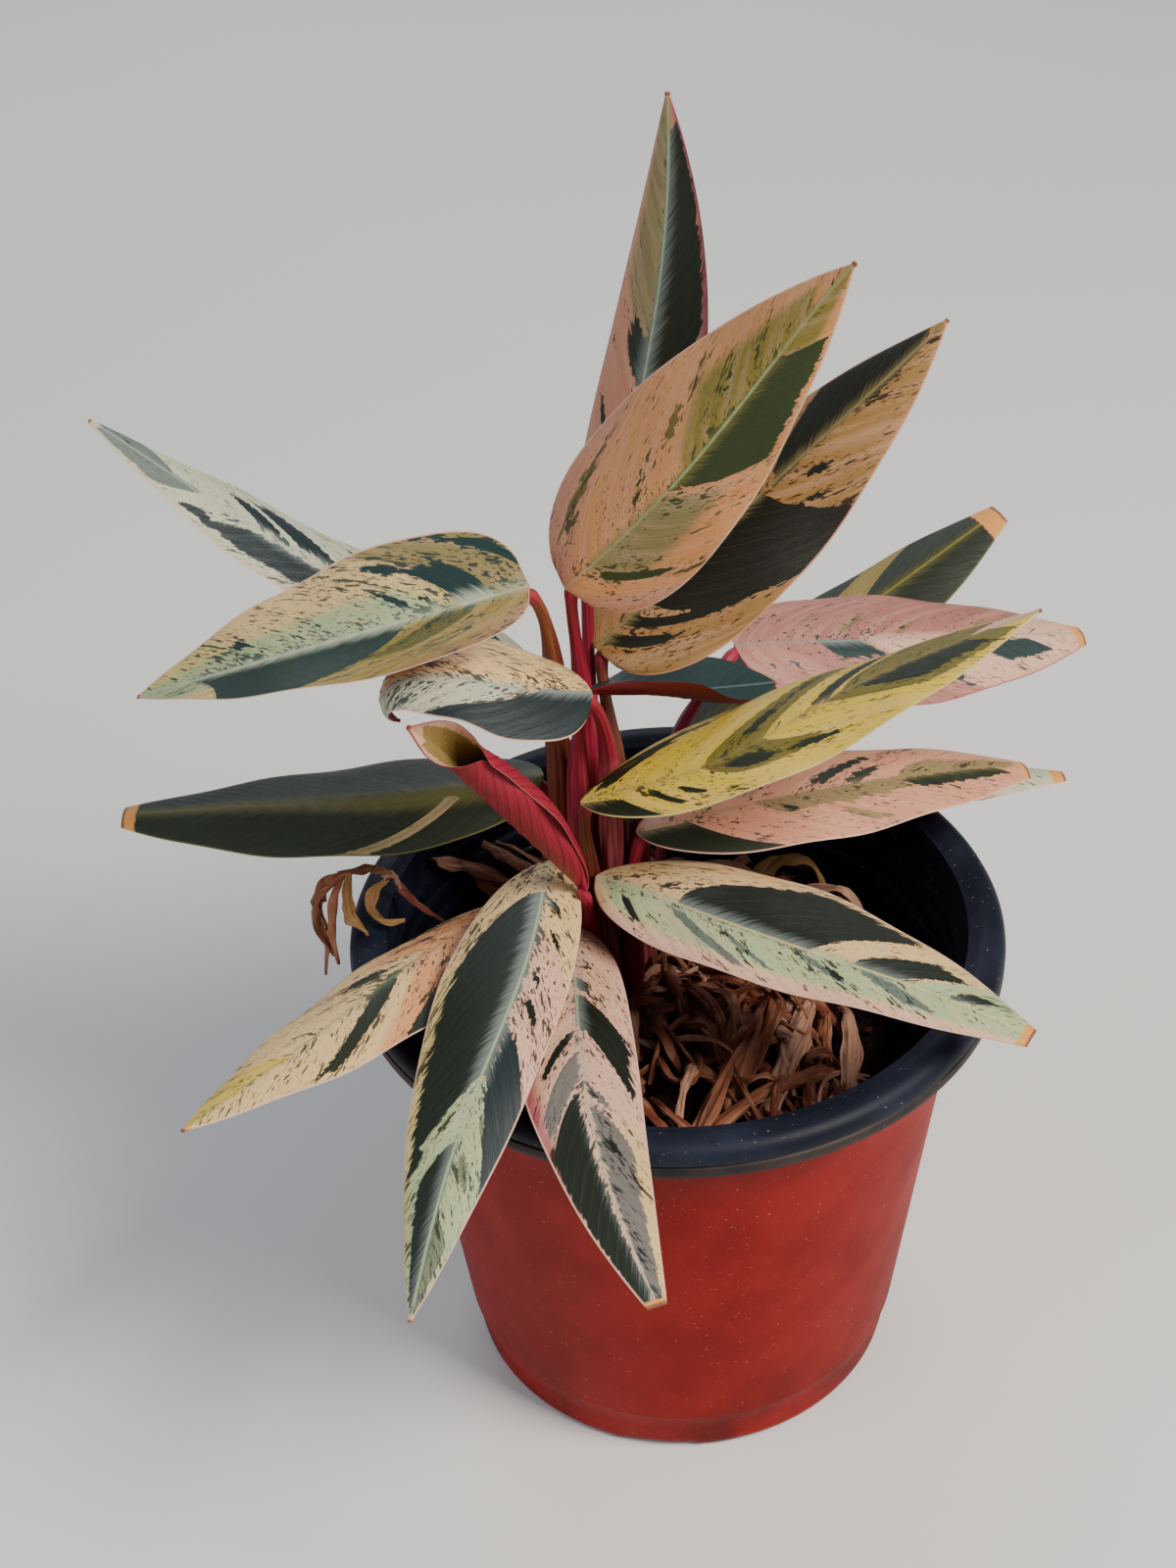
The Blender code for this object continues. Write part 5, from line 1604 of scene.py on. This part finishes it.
@dataclass(frozen=True)
class Litter:
    """The dried sheaths on the soil and over the rim."""

    tangle: Tangle
    soil: Soil
    seed: int
    wisp_tints: tuple[Tint, ...] = (Tint.RUST, Tint.BARK, Tint.BARK, Tint.RUST, Tint.FAWN)
    wall_gap: float = 0.004

    def loose(self, wisps: Wisps, seed: int) -> list[Strip]:
        """Return the strands of one drift.

        Args:
            wisps: the drift.
            seed: the start of the random numbers.

        Returns:
            Strips of four points each: a bowed line that starts and ends low and arches between,
            pulled in where it would pass the soil's edge.
        """
        rng = np.random.default_rng(seed)
        strips = []
        for _ in range(wisps.count):
            spot = np.array(wisps.middle) + np.array(wisps.reach) * rng.uniform(-1.0, 1.0, 2)
            heading = math.radians(wisps.heading + wisps.spread * rng.uniform(-1.0, 1.0))
            length = rng.uniform(*wisps.length)
            width = wisps.width[0] + (wisps.width[1] - wisps.width[0]) * rng.random() ** 1.5
            bow = rng.uniform(-0.25, 0.25) * length
            top = wisps.top * rng.uniform(0.3, 1.0)
            way = np.array([math.cos(heading), math.sin(heading)])
            out = np.array([-way[1], way[0]])
            points = []
            for share, rise in ((-0.5, 0.1), (-0.15, 0.9), (0.2, 1.0), (0.5, 0.15)):
                place = spot + way * share * length + out * bow * (1.0 - 4.0 * share ** 2)
                place *= min(1.0, (self.soil.radius - self.wall_gap) / np.linalg.norm(place))
                points.append((place[0], place[1], 0.0006 + top * rise))
            tint = self.wisp_tints[rng.integers(len(self.wisp_tints))]
            strips.append(Strip(width, tuple(points), rng.uniform(-60.0, 60.0),
                                rng.uniform(-90.0, 90.0), tint))
        return strips

    def surface(self) -> Surface:
        """Return the tangle's strips and loose strands as one surface."""
        strips = list(self.tangle.strips)
        for index, wisps in enumerate(self.tangle.wisps):
            strips += self.loose(wisps, self.seed + 7 + index)
        parts = []
        for index, strip in enumerate(strips):
            lift = None
            if self.tangle.on_soil:
                known = np.array(strip.points)
                lift = self.soil.height(known[:, 0], known[:, 1])
            parts.append(DriedStrip(strip, lift, self.seed + index).surface())
        return Surface.joined(parts)

    def build(self, finish: bpy.types.Material) -> None:
        """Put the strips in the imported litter's place, dressed in their finish."""
        name = self.tangle.name
        dried = self.surface().to_object("dried_" + name, finish, "dried_leaf")
        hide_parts("litter_" + name)


@dataclass(frozen=True)
class Grain:
    """Noise on a blade: its cells a millimetre across and along the side veins, and its place."""

    across: float
    along: float
    seed: float
    detail: float = 2.0


class LeafFinish:
    """The blade's finish: layers of colour laid over the values kept at its points.

    Lengths are in millimetres, as those values are. Each layer takes the colour so far and returns
    the colour with the layer on it.
    """

    STREAK = Grain(2.6, 0.07, 9.0, 3.0)
    JAG = Grain(0.5, 0.07, 3.0, 4.0)
    SPIKES = Grain(1.0, 0.05, 15.0, 3.0)
    CLOUD = Grain(0.22, 0.06, 21.0, 1.0)
    CLUSTER = Grain(0.16, 0.12, 27.0, 1.0)
    DASH = Grain(0.85, 0.75, 33.0, 1.0)
    DOT = Grain(1.7, 1.5, 45.0, 0.0)
    BLOT = Grain(0.50, 0.42, 51.0, 1.5)
    GRAIN_ROUGHNESS = 0.6
    JAG_SIZE = 3.2
    SPIKE_SIZE, SPIKE_START = 6.0, -2.6
    FLECK_LEVEL, FLECK_GAIN, FLECK_CLUSTERING = 0.80, -0.19, 0.36
    FLECK_SHARE = 0.90
    VEIN_PITCH = 2.6

    def __init__(self) -> None:
        """Start the material and read what the blade keeps at its points."""
        self.kit = kit = Nodes("leaf")
        self.lead, self.aside, self.rim = kit.apart(kit.attribute("veins").outputs["Vector"])
        self.dark, self.half, self.flecks = kit.apart(kit.attribute("marks").outputs["Vector"])
        self.to_tip, self.dry, self.rib_width = kit.apart(kit.attribute("tip").outputs["Vector"])
        self.away = kit.sum("ABSOLUTE", self.aside)
        self.deep = self.tint("deep")
        self.streak = self.grain(self.STREAK)
        self.jag = kit.sum("MULTIPLY_ADD", self.grain(self.JAG), self.JAG_SIZE, -0.5 * self.JAG_SIZE)
        self.is_dark = kit.step(kit.sum("ADD", self.dark, self.jag), -0.12, 0.12)

    def tint(self, name: str) -> NodeSocket:
        """Return one of the colours kept at the blade's points."""
        return self.kit.attribute(name).outputs["Color"]

    def grain(self, grain: Grain) -> NodeSocket:
        """Return noise whose cells are stretched along the side veins."""
        kit = self.kit
        place = kit.vector(kit.sum("MULTIPLY", self.lead, grain.across),
                           kit.sum("MULTIPLY", self.aside, grain.along), grain.seed)
        return kit.noise(place, detail=grain.detail, roughness=self.GRAIN_ROUGHNESS)

    def ground(self) -> NodeSocket:
        """Return the pale ground, blushed in broad clouds and dimmed in fine streaks."""
        kit = self.kit
        cloud = kit.step(self.grain(self.CLOUD), 0.40, 0.65, 0.0, 0.22)
        colour = kit.mix(cloud, self.tint("ground"), Tint.BLUSH)
        return kit.mix(kit.step(self.streak, 0.40, 0.62, 0.0, 0.36), colour, Tint.DIM, "MULTIPLY")

    def half_dark(self, colour: NodeSocket) -> NodeSocket:
        """Lay on the patches between pale and dark, with jagged ends."""
        kit = self.kit
        inside = kit.step(kit.sum("ADD", self.half, self.jag), -0.15, 0.15)
        tone = kit.mix(kit.step(self.streak, 0.35, 0.65, 0.0, 0.45), self.tint("half"), self.deep)
        return kit.mix(kit.sum("MULTIPLY", inside, 0.85), colour, tone)

    def fleck(self, colour: NodeSocket) -> NodeSocket:
        """Lay on dark dashes, dots and blots where their noise passes a level.

        The level falls where flecks are thick, in clusters of them, and close to a dark patch.
        """
        kit = self.kit
        cluster = kit.sum("MULTIPLY_ADD", self.grain(self.CLUSTER), self.FLECK_CLUSTERING,
                          -0.5 * self.FLECK_CLUSTERING)
        level = kit.sum("MULTIPLY_ADD", self.flecks, self.FLECK_GAIN, self.FLECK_LEVEL)
        level = kit.sum("SUBTRACT", level, cluster)
        level = kit.sum("SUBTRACT", level, kit.step(self.dark, -6.0, -0.5, 0.0, 0.06))
        dash = kit.step(kit.sum("SUBTRACT", self.grain(self.DASH), level), 0.0, 0.015)
        dot = kit.step(kit.sum("SUBTRACT", self.grain(self.DOT), level), 0.04, 0.06, 0.0, 0.75)
        blot = kit.step(kit.sum("SUBTRACT", self.grain(self.BLOT), level), 0.0, 0.008)
        most = kit.sum("MAXIMUM", kit.sum("MAXIMUM", dash, dot), blot)
        return kit.mix(kit.sum("MULTIPLY", most, self.FLECK_SHARE), colour, self.deep)

    def darken(self, colour: NodeSocket) -> NodeSocket:
        """Lay on the dark patches, faintly lit along their side veins."""
        kit = self.kit
        vein = kit.sum("MULTIPLY_ADD", self.streak, 0.8, self.lead)
        vein = kit.step(kit.sum("PINGPONG", vein, self.VEIN_PITCH), 0.25, 0.0, 0.0, 0.10)
        lit = kit.mix(kit.sum("MULTIPLY_ADD", self.streak, 0.12, vein), self.deep, Tint.SAGE)
        return kit.mix(self.is_dark, colour, lit)

    def midrib(self, colour: NodeSocket) -> NodeSocket:
        """Lay on the band along the midrib, feathered on dark ground, and the midrib's line."""
        kit = self.kit
        spikes = kit.sum("MULTIPLY_ADD", self.grain(self.SPIKES), self.SPIKE_SIZE, self.SPIKE_START)
        reach = kit.sum("MULTIPLY_ADD", self.is_dark, spikes, self.rib_width)
        band = kit.step(kit.sum("SUBTRACT", reach, self.away), -1.6, 2.0)
        share = kit.sum("MULTIPLY", band, kit.sum("MULTIPLY_ADD", self.is_dark, 0.45, 0.28))
        colour = kit.mix(share, colour, self.tint("rib"))
        share = kit.sum("MULTIPLY", kit.step(self.away, 0.45, 0.15),
                        kit.sum("MULTIPLY_ADD", self.is_dark, 0.30, 0.35))
        return kit.mix(share, colour, self.tint("line"))

    def margin(self, colour: NodeSocket) -> NodeSocket:
        """Lay on the margin's line and the dried tip, which is darkest at its very end."""
        kit = self.kit
        colour = kit.mix(kit.step(self.rim, 0.50, 0.25, 0.0, 0.85), colour, self.tint("edge"))
        dried = kit.sum("SUBTRACT", kit.sum("MULTIPLY_ADD", self.jag, 0.4, self.dry), self.to_tip)
        colour = kit.mix(kit.step(dried, -0.3, 0.3), colour, Tint.CUT)
        return kit.mix(kit.step(kit.sum("SUBTRACT", dried, self.dry), -1.0, -0.4), colour, Tint.BARK)

    def underside(self, colour: NodeSocket) -> NodeSocket:
        """Turn the colour to the underside's red, with dark side veins, below the margin."""
        kit = self.kit
        red = kit.mix(kit.step(self.streak, 0.35, 0.65, 0.0, 0.45), self.tint("under"), Tint.WINE)
        vein = kit.step(kit.sum("PINGPONG", self.lead, self.VEIN_PITCH), 0.30, 0.10, 0.0, 0.9)
        red = kit.mix(vein, red, Tint.VEIN)
        return kit.mix(kit.step(kit.attribute("below").outputs["Fac"], 0.05, 0.25), colour, red)

    def build(self) -> bpy.types.Material:
        """Return the finished material: every layer, a satin gloss, and ridges along the streaks."""
        kit = self.kit
        colour = self.ground()
        for layer in (self.half_dark, self.fleck, self.darken, self.midrib, self.margin,
                      self.underside):
            colour = layer(colour)
        roughness = kit.sum("MULTIPLY_ADD", self.streak, 0.20, 0.34)
        return kit.finish(colour, roughness, kit.bump(self.streak, 0.00025, 0.6),
                          Specular_IOR_Level=0.35)


@dataclass(frozen=True)
class StalkFinish:
    """The stalk's finish: a sheath and a petiole in their tints, with long fine streaks.

    streak and cloud are cells a millimetre along and round the stalk.
    """

    streak: tuple[float, float] = (0.05, 1.2)
    cloud: tuple[float, float] = (0.04, 0.5)
    gloss: float = 0.35

    def build(self) -> bpy.types.Material:
        """Return the finished material."""
        kit = Nodes("stalk")
        streak = kit.noise(kit.stretched(self.streak), detail=3.0, roughness=0.6)
        cloud = kit.noise(kit.stretched(self.cloud), detail=1.0)
        # The rose stripes along the sheath are painted highlights: lighter streaks where its glossy
        # ridges catch the light.
        sheath = kit.mix(kit.step(cloud, 0.45, 0.70, 0.0, 0.55),
                         kit.attribute("sheath").outputs["Color"], Tint.ROSE)
        free = kit.step(kit.attribute("free").outputs["Fac"], -0.3, 0.4)
        colour = kit.mix(free, sheath, kit.attribute("petiole").outputs["Color"])
        colour = kit.mix(kit.step(streak, 0.35, 0.65, 0.0, 0.75), colour, Tint.WINE)
        joint = kit.step(kit.attribute("joint").outputs["Fac"], 0.0, 0.6, 0.0, 0.7)
        colour = kit.mix(joint, colour, Tint.MAGENTA)
        return kit.finish(colour, kit.sum("MULTIPLY_ADD", streak, 0.2, 0.35),
                          kit.bump(streak, 0.0004, 0.7), Specular_IOR_Level=self.gloss)


@dataclass(frozen=True)
class PlasticFinish:
    """The pot's finish: red wall, black inside, brownish grey under the rim's groove.

    cloud, speck and grain are cells a metre. scuffed is the height that wear reaches, in metres.
    """

    cloud: float = 35.0
    speck: float = 1300.0
    grain: float = 2500.0
    scuffed: float = 0.034
    gloss: float = 0.16

    def build(self) -> bpy.types.Material:
        """Return the finished material."""
        kit = Nodes("pot_plastic")
        place = kit.place()
        cloud = kit.noise(place, scale=self.cloud, detail=4.0, roughness=0.6)
        speck = kit.noise(place, scale=self.speck, detail=0.0)
        grain = kit.noise(place, scale=self.grain, detail=1.0)
        tone = kit.step(cloud, 0.35, 0.65)
        red = kit.mix(tone, Tint.POT_RED, Tint.POT_DEEP_RED)
        # The inside and the rim mix two blue-grey blacks that hold painted sheen and painted light.
        black = kit.mix(tone, Tint.POT_BLACK, Tint.POT_PALE_SHEEN_BLACK)
        brown = kit.mix(tone, Tint.POT_BROWN, Tint.POT_DARK_BROWN)
        part = kit.attribute("red").outputs["Fac"]
        colour = kit.mix(kit.step(part, 0.2, 0.3), black, brown)
        colour = kit.mix(kit.step(part, 0.7, 0.8), colour, red)
        low = kit.step(kit.apart(place)[2], self.scuffed, 0.004)
        scuff = kit.sum("MULTIPLY", low, kit.step(cloud, 0.45, 0.70, 0.0, 0.5))
        colour = kit.mix(scuff, colour, Tint.SCUFF)
        colour = kit.mix(kit.step(speck, 0.80, 0.83, 0.0, 0.25), colour, Tint.SPECK)
        return kit.finish(colour, kit.sum("MULTIPLY_ADD", cloud, 0.25, 0.40),
                          kit.bump(grain, 0.0001, 0.4), Specular_IOR_Level=self.gloss)


@dataclass(frozen=True)
class EarthFinish:
    """The soil's finish: near black with browner and redder crumbs, in cells a metre."""

    crumb: float = 600.0
    cloud: float = 90.0
    gloss: float = 0.15

    def build(self) -> bpy.types.Material:
        """Return the finished material."""
        kit = Nodes("soil")
        place = kit.place()
        crumb = kit.noise(place, scale=self.crumb, detail=4.0, roughness=0.7)
        cloud = kit.noise(place, scale=self.cloud, detail=2.0)
        colour = kit.mix(kit.step(crumb, 0.35, 0.7), Tint.PEAT, Tint.BROWN_PEAT)
        colour = kit.mix(kit.step(cloud, 0.45, 0.7, 0.0, 0.5), colour, Tint.RED_PEAT)
        return kit.finish(colour, 0.95, kit.bump(crumb, 0.0008, 0.9), Specular_IOR_Level=self.gloss)


@dataclass(frozen=True)
class CrumbFinish:
    """The crumbs' finish: most are dark, and a few are bark, pale grit or moss.

    A crumb's shade is below 1, and above 1 on moss. fine is in cells a metre.
    """

    fine: float = 1500.0
    gloss: float = 0.2

    def build(self) -> bpy.types.Material:
        """Return the finished material."""
        kit = Nodes("soil_crumb")
        shade = kit.attribute("shade").outputs["Fac"]
        fine = kit.noise(kit.place(), scale=self.fine, detail=2.0)
        colour = kit.mix(kit.step(shade, 0.3, 0.8), Tint.DARK_CRUMB, Tint.BARK_CRUMB)
        colour = kit.mix(kit.step(shade, 0.965, 0.975), colour, Tint.GRIT)
        colour = kit.mix(kit.step(shade, 1.0, 1.01), colour, Tint.MOSS)
        colour = kit.mix(kit.step(fine, 0.4, 0.7, 0.0, 0.5), colour, Tint.CRUMB_SHADE)
        return kit.finish(colour, 0.9, kit.bump(fine, 0.0003, 0.8), Specular_IOR_Level=self.gloss)


@dataclass(frozen=True)
class DriedFinish:
    """The dried strips' finish: brown paper with long fibres and darker blotches.

    fibre and blotch are cells a millimetre along and across a strip.
    """

    fibre: tuple[float, float] = (0.10, 2.2)
    blotch: tuple[float, float] = (0.16, 0.4)
    gloss: float = 0.3

    def build(self) -> bpy.types.Material:
        """Return the finished material."""
        kit = Nodes("dried_leaf")
        fibre = kit.noise(kit.stretched(self.fibre), detail=3.0, roughness=0.65)
        blotch = kit.noise(kit.stretched(self.blotch), detail=2.0)
        colour = kit.mix(kit.step(blotch, 0.45, 0.70, 0.0, 0.45),
                         kit.attribute("tint").outputs["Color"], Tint.FAWN)
        colour = kit.mix(kit.step(blotch, 0.48, 0.30, 0.0, 0.45), colour, Tint.DARK_BLOTCH)
        colour = kit.mix(kit.step(fibre, 0.48, 0.72, 0.0, 0.70), colour, Tint.DARK_FIBRE)
        return kit.finish(colour, kit.sum("MULTIPLY_ADD", fibre, 0.2, 0.55),
                          kit.bump(fibre, 0.0008, 0.9), Specular_IOR_Level=self.gloss)


@dataclass(frozen=True)
class FloorFinish:
    """The stage's floor: a plain pale grey in soft broad clouds, in cells a metre."""

    cloud: float = 3.0

    def build(self) -> bpy.types.Material:
        """Return the finished material."""
        kit = Nodes("floor")
        place = kit.place()
        cloud = kit.noise(place, scale=self.cloud, detail=3.0)
        return kit.finish(kit.mix(cloud, Tint.FLOOR, Tint.PALE_FLOOR), 0.85)


@dataclass(frozen=True)
class Light:
    """One square soft light: its place, its power in watts, the side of its square, its colour."""

    name: str
    place: tuple[float, ...]
    power: float
    size: float
    tint: tuple[float, ...]


@dataclass(frozen=True)
class Stage:
    """The pale floor, the soft studio light, and the camera at the photograph's place."""

    lights: tuple[Light, ...] = (
        Light("key", (0.80, -0.55, 1.20), 32.0, 0.6, (1.0, 0.95, 0.87)),
        Light("fill", (-1.1, -0.5, 0.9), 7.0, 1.0, (0.80, 0.89, 1.0)),
        Light("back", (-0.2, 1.2, 1.0), 7.0, 0.9, (0.85, 0.92, 1.0)),
    )
    light_aim: tuple[float, ...] = (0.0, 0.0, 0.17)
    sky: tuple[float, ...] = (0.80, 0.86, 0.95, 1.0)
    sky_strength: float = 0.30
    floor_radius: float = 4.0
    floor_sides: int = 96
    floor_drop: float = 0.0003
    lens: float = 58.5
    aim: tuple[float, ...] = (-0.0202, 0.0, 0.1755)
    distance: float = 0.597
    pitch: float = 37.7
    roll: float = -2.3

    def floor(self) -> bpy.types.Object:
        """Return the floor: a wide disc just under the pot."""
        finish = FloorFinish().build()
        sides = self.floor_sides
        turn = np.linspace(0.0, 2.0 * math.pi, sides, endpoint=False)
        rim = np.stack([np.cos(turn), np.sin(turn), np.zeros(sides)], axis=1) * self.floor_radius
        points = np.vstack([rim, np.zeros(3)]) - (0.0, 0.0, self.floor_drop)
        mesh = bpy.data.meshes.new("floor")
        mesh.from_pydata(points.tolist(), [], [(sides, i, (i + 1) % sides) for i in range(sides)])
        mesh.materials.append(finish)
        floor = put("floor", mesh)
        return floor

    @staticmethod
    def look_at(place: tuple, aim: tuple, roll: float = 0.0) -> Matrix:
        """Return the place and turn of something at place that faces aim.

        Args:
            place: where it stands.
            aim: the point that its -Z axis runs through.
            roll: how far it turns about that axis, anticlockwise as seen from behind it.

        Returns:
            The matrix whose columns are its right, up and backward vectors.
        """
        forward = np.array(aim, float) - np.array(place, float)
        forward /= np.linalg.norm(forward)
        right = np.cross(forward, (0.0, 0.0, 1.0))
        right /= np.linalg.norm(right)
        up = np.cross(right, forward)
        turn = math.radians(roll)
        turned = math.cos(turn) * right + math.sin(turn) * up
        up = math.cos(turn) * up - math.sin(turn) * right
        columns = np.stack([turned, up, -forward], axis=1)
        return Matrix.Translation(place) @ Matrix(columns.tolist()).to_4x4()

    def camera(self) -> bpy.types.Object:
        """Make the camera, which looks along +Y and down by the pitch."""
        data = bpy.data.cameras.new("camera")
        data.lens = self.lens
        pitch = math.radians(self.pitch)
        back = np.array([0.0, -math.cos(pitch), math.sin(pitch)]) * self.distance
        camera = put("camera", data)
        camera.matrix_world = self.look_at(tuple(np.array(self.aim) + back), self.aim, self.roll)
        bpy.context.scene.camera = camera
        return camera

    def hang(self, light: Light) -> None:
        """Add one light, which faces the plant."""
        data = bpy.data.lights.new(light.name, "AREA")
        data.energy = light.power
        data.size = light.size
        data.color = light.tint
        put(light.name, data).matrix_world = self.look_at(light.place, self.light_aim)

    def surroundings(self) -> None:
        """Make the pale, even surroundings."""
        world = bpy.data.worlds.new("studio")
        world.use_nodes = True
        background = world.node_tree.nodes["Background"]
        background.inputs["Color"].default_value = self.sky
        background.inputs["Strength"].default_value = self.sky_strength
        bpy.context.scene.world = world

    def build(self) -> None:
        """Set up the floor, the lights, the surroundings and the camera."""
        self.floor()
        for light in self.lights:
            self.hang(light)
        self.surroundings()
        self.camera()


PLAIN_STALK: tuple[Tint, Tint] = (Tint.MAGENTA, Tint.MAGENTA)

STALKS: dict[str, tuple[Tint, Tint]] = {
    "left": (Tint.RUST, Tint.BARK),
    "back_right": (Tint.BARK, Tint.BARK),
    "sunlit_right": (Tint.MAGENTA, Tint.BARK),
    "front_right": (Tint.MAGENTA, Tint.BARK),
    "small_left": (Tint.ROSE, Tint.MAGENTA),
    "front_left": (Tint.RUST, Tint.BARK),
    "pink_right": (Tint.ROSE, Tint.MAGENTA),
    "pale_right": (Tint.RUST, Tint.BARK),
    "low_left": (Tint.RUST, Tint.OLIVE),
}


def main() -> None:
    """Build the pot, the soil, the litter and the leaves, then the stage."""
    pot = Pot()
    pot.build(PlasticFinish().build())
    soil = Soil(pot)
    soil.build(EarthFinish().build(), CrumbFinish().build())
    dried = DriedFinish().build()
    for index, tangle in enumerate(TANGLES):
        Litter(tangle, soil, LITTER_SEED_STEP * index).build(dried)
    leaf = LeafFinish().build()
    stalk = StalkFinish().build()
    for index, (name, form) in enumerate(FORMS.items()):
        blade = Blade(name, form, LOOKS[name], index)
        blade.build(leaf)
        Stalk(blade, *STALKS.get(name, PLAIN_STALK)).build(stalk)
    Stage().build()


if __name__ == "__main__":
    logging.basicConfig(level=logging.INFO, format="%(message)s")
    main()
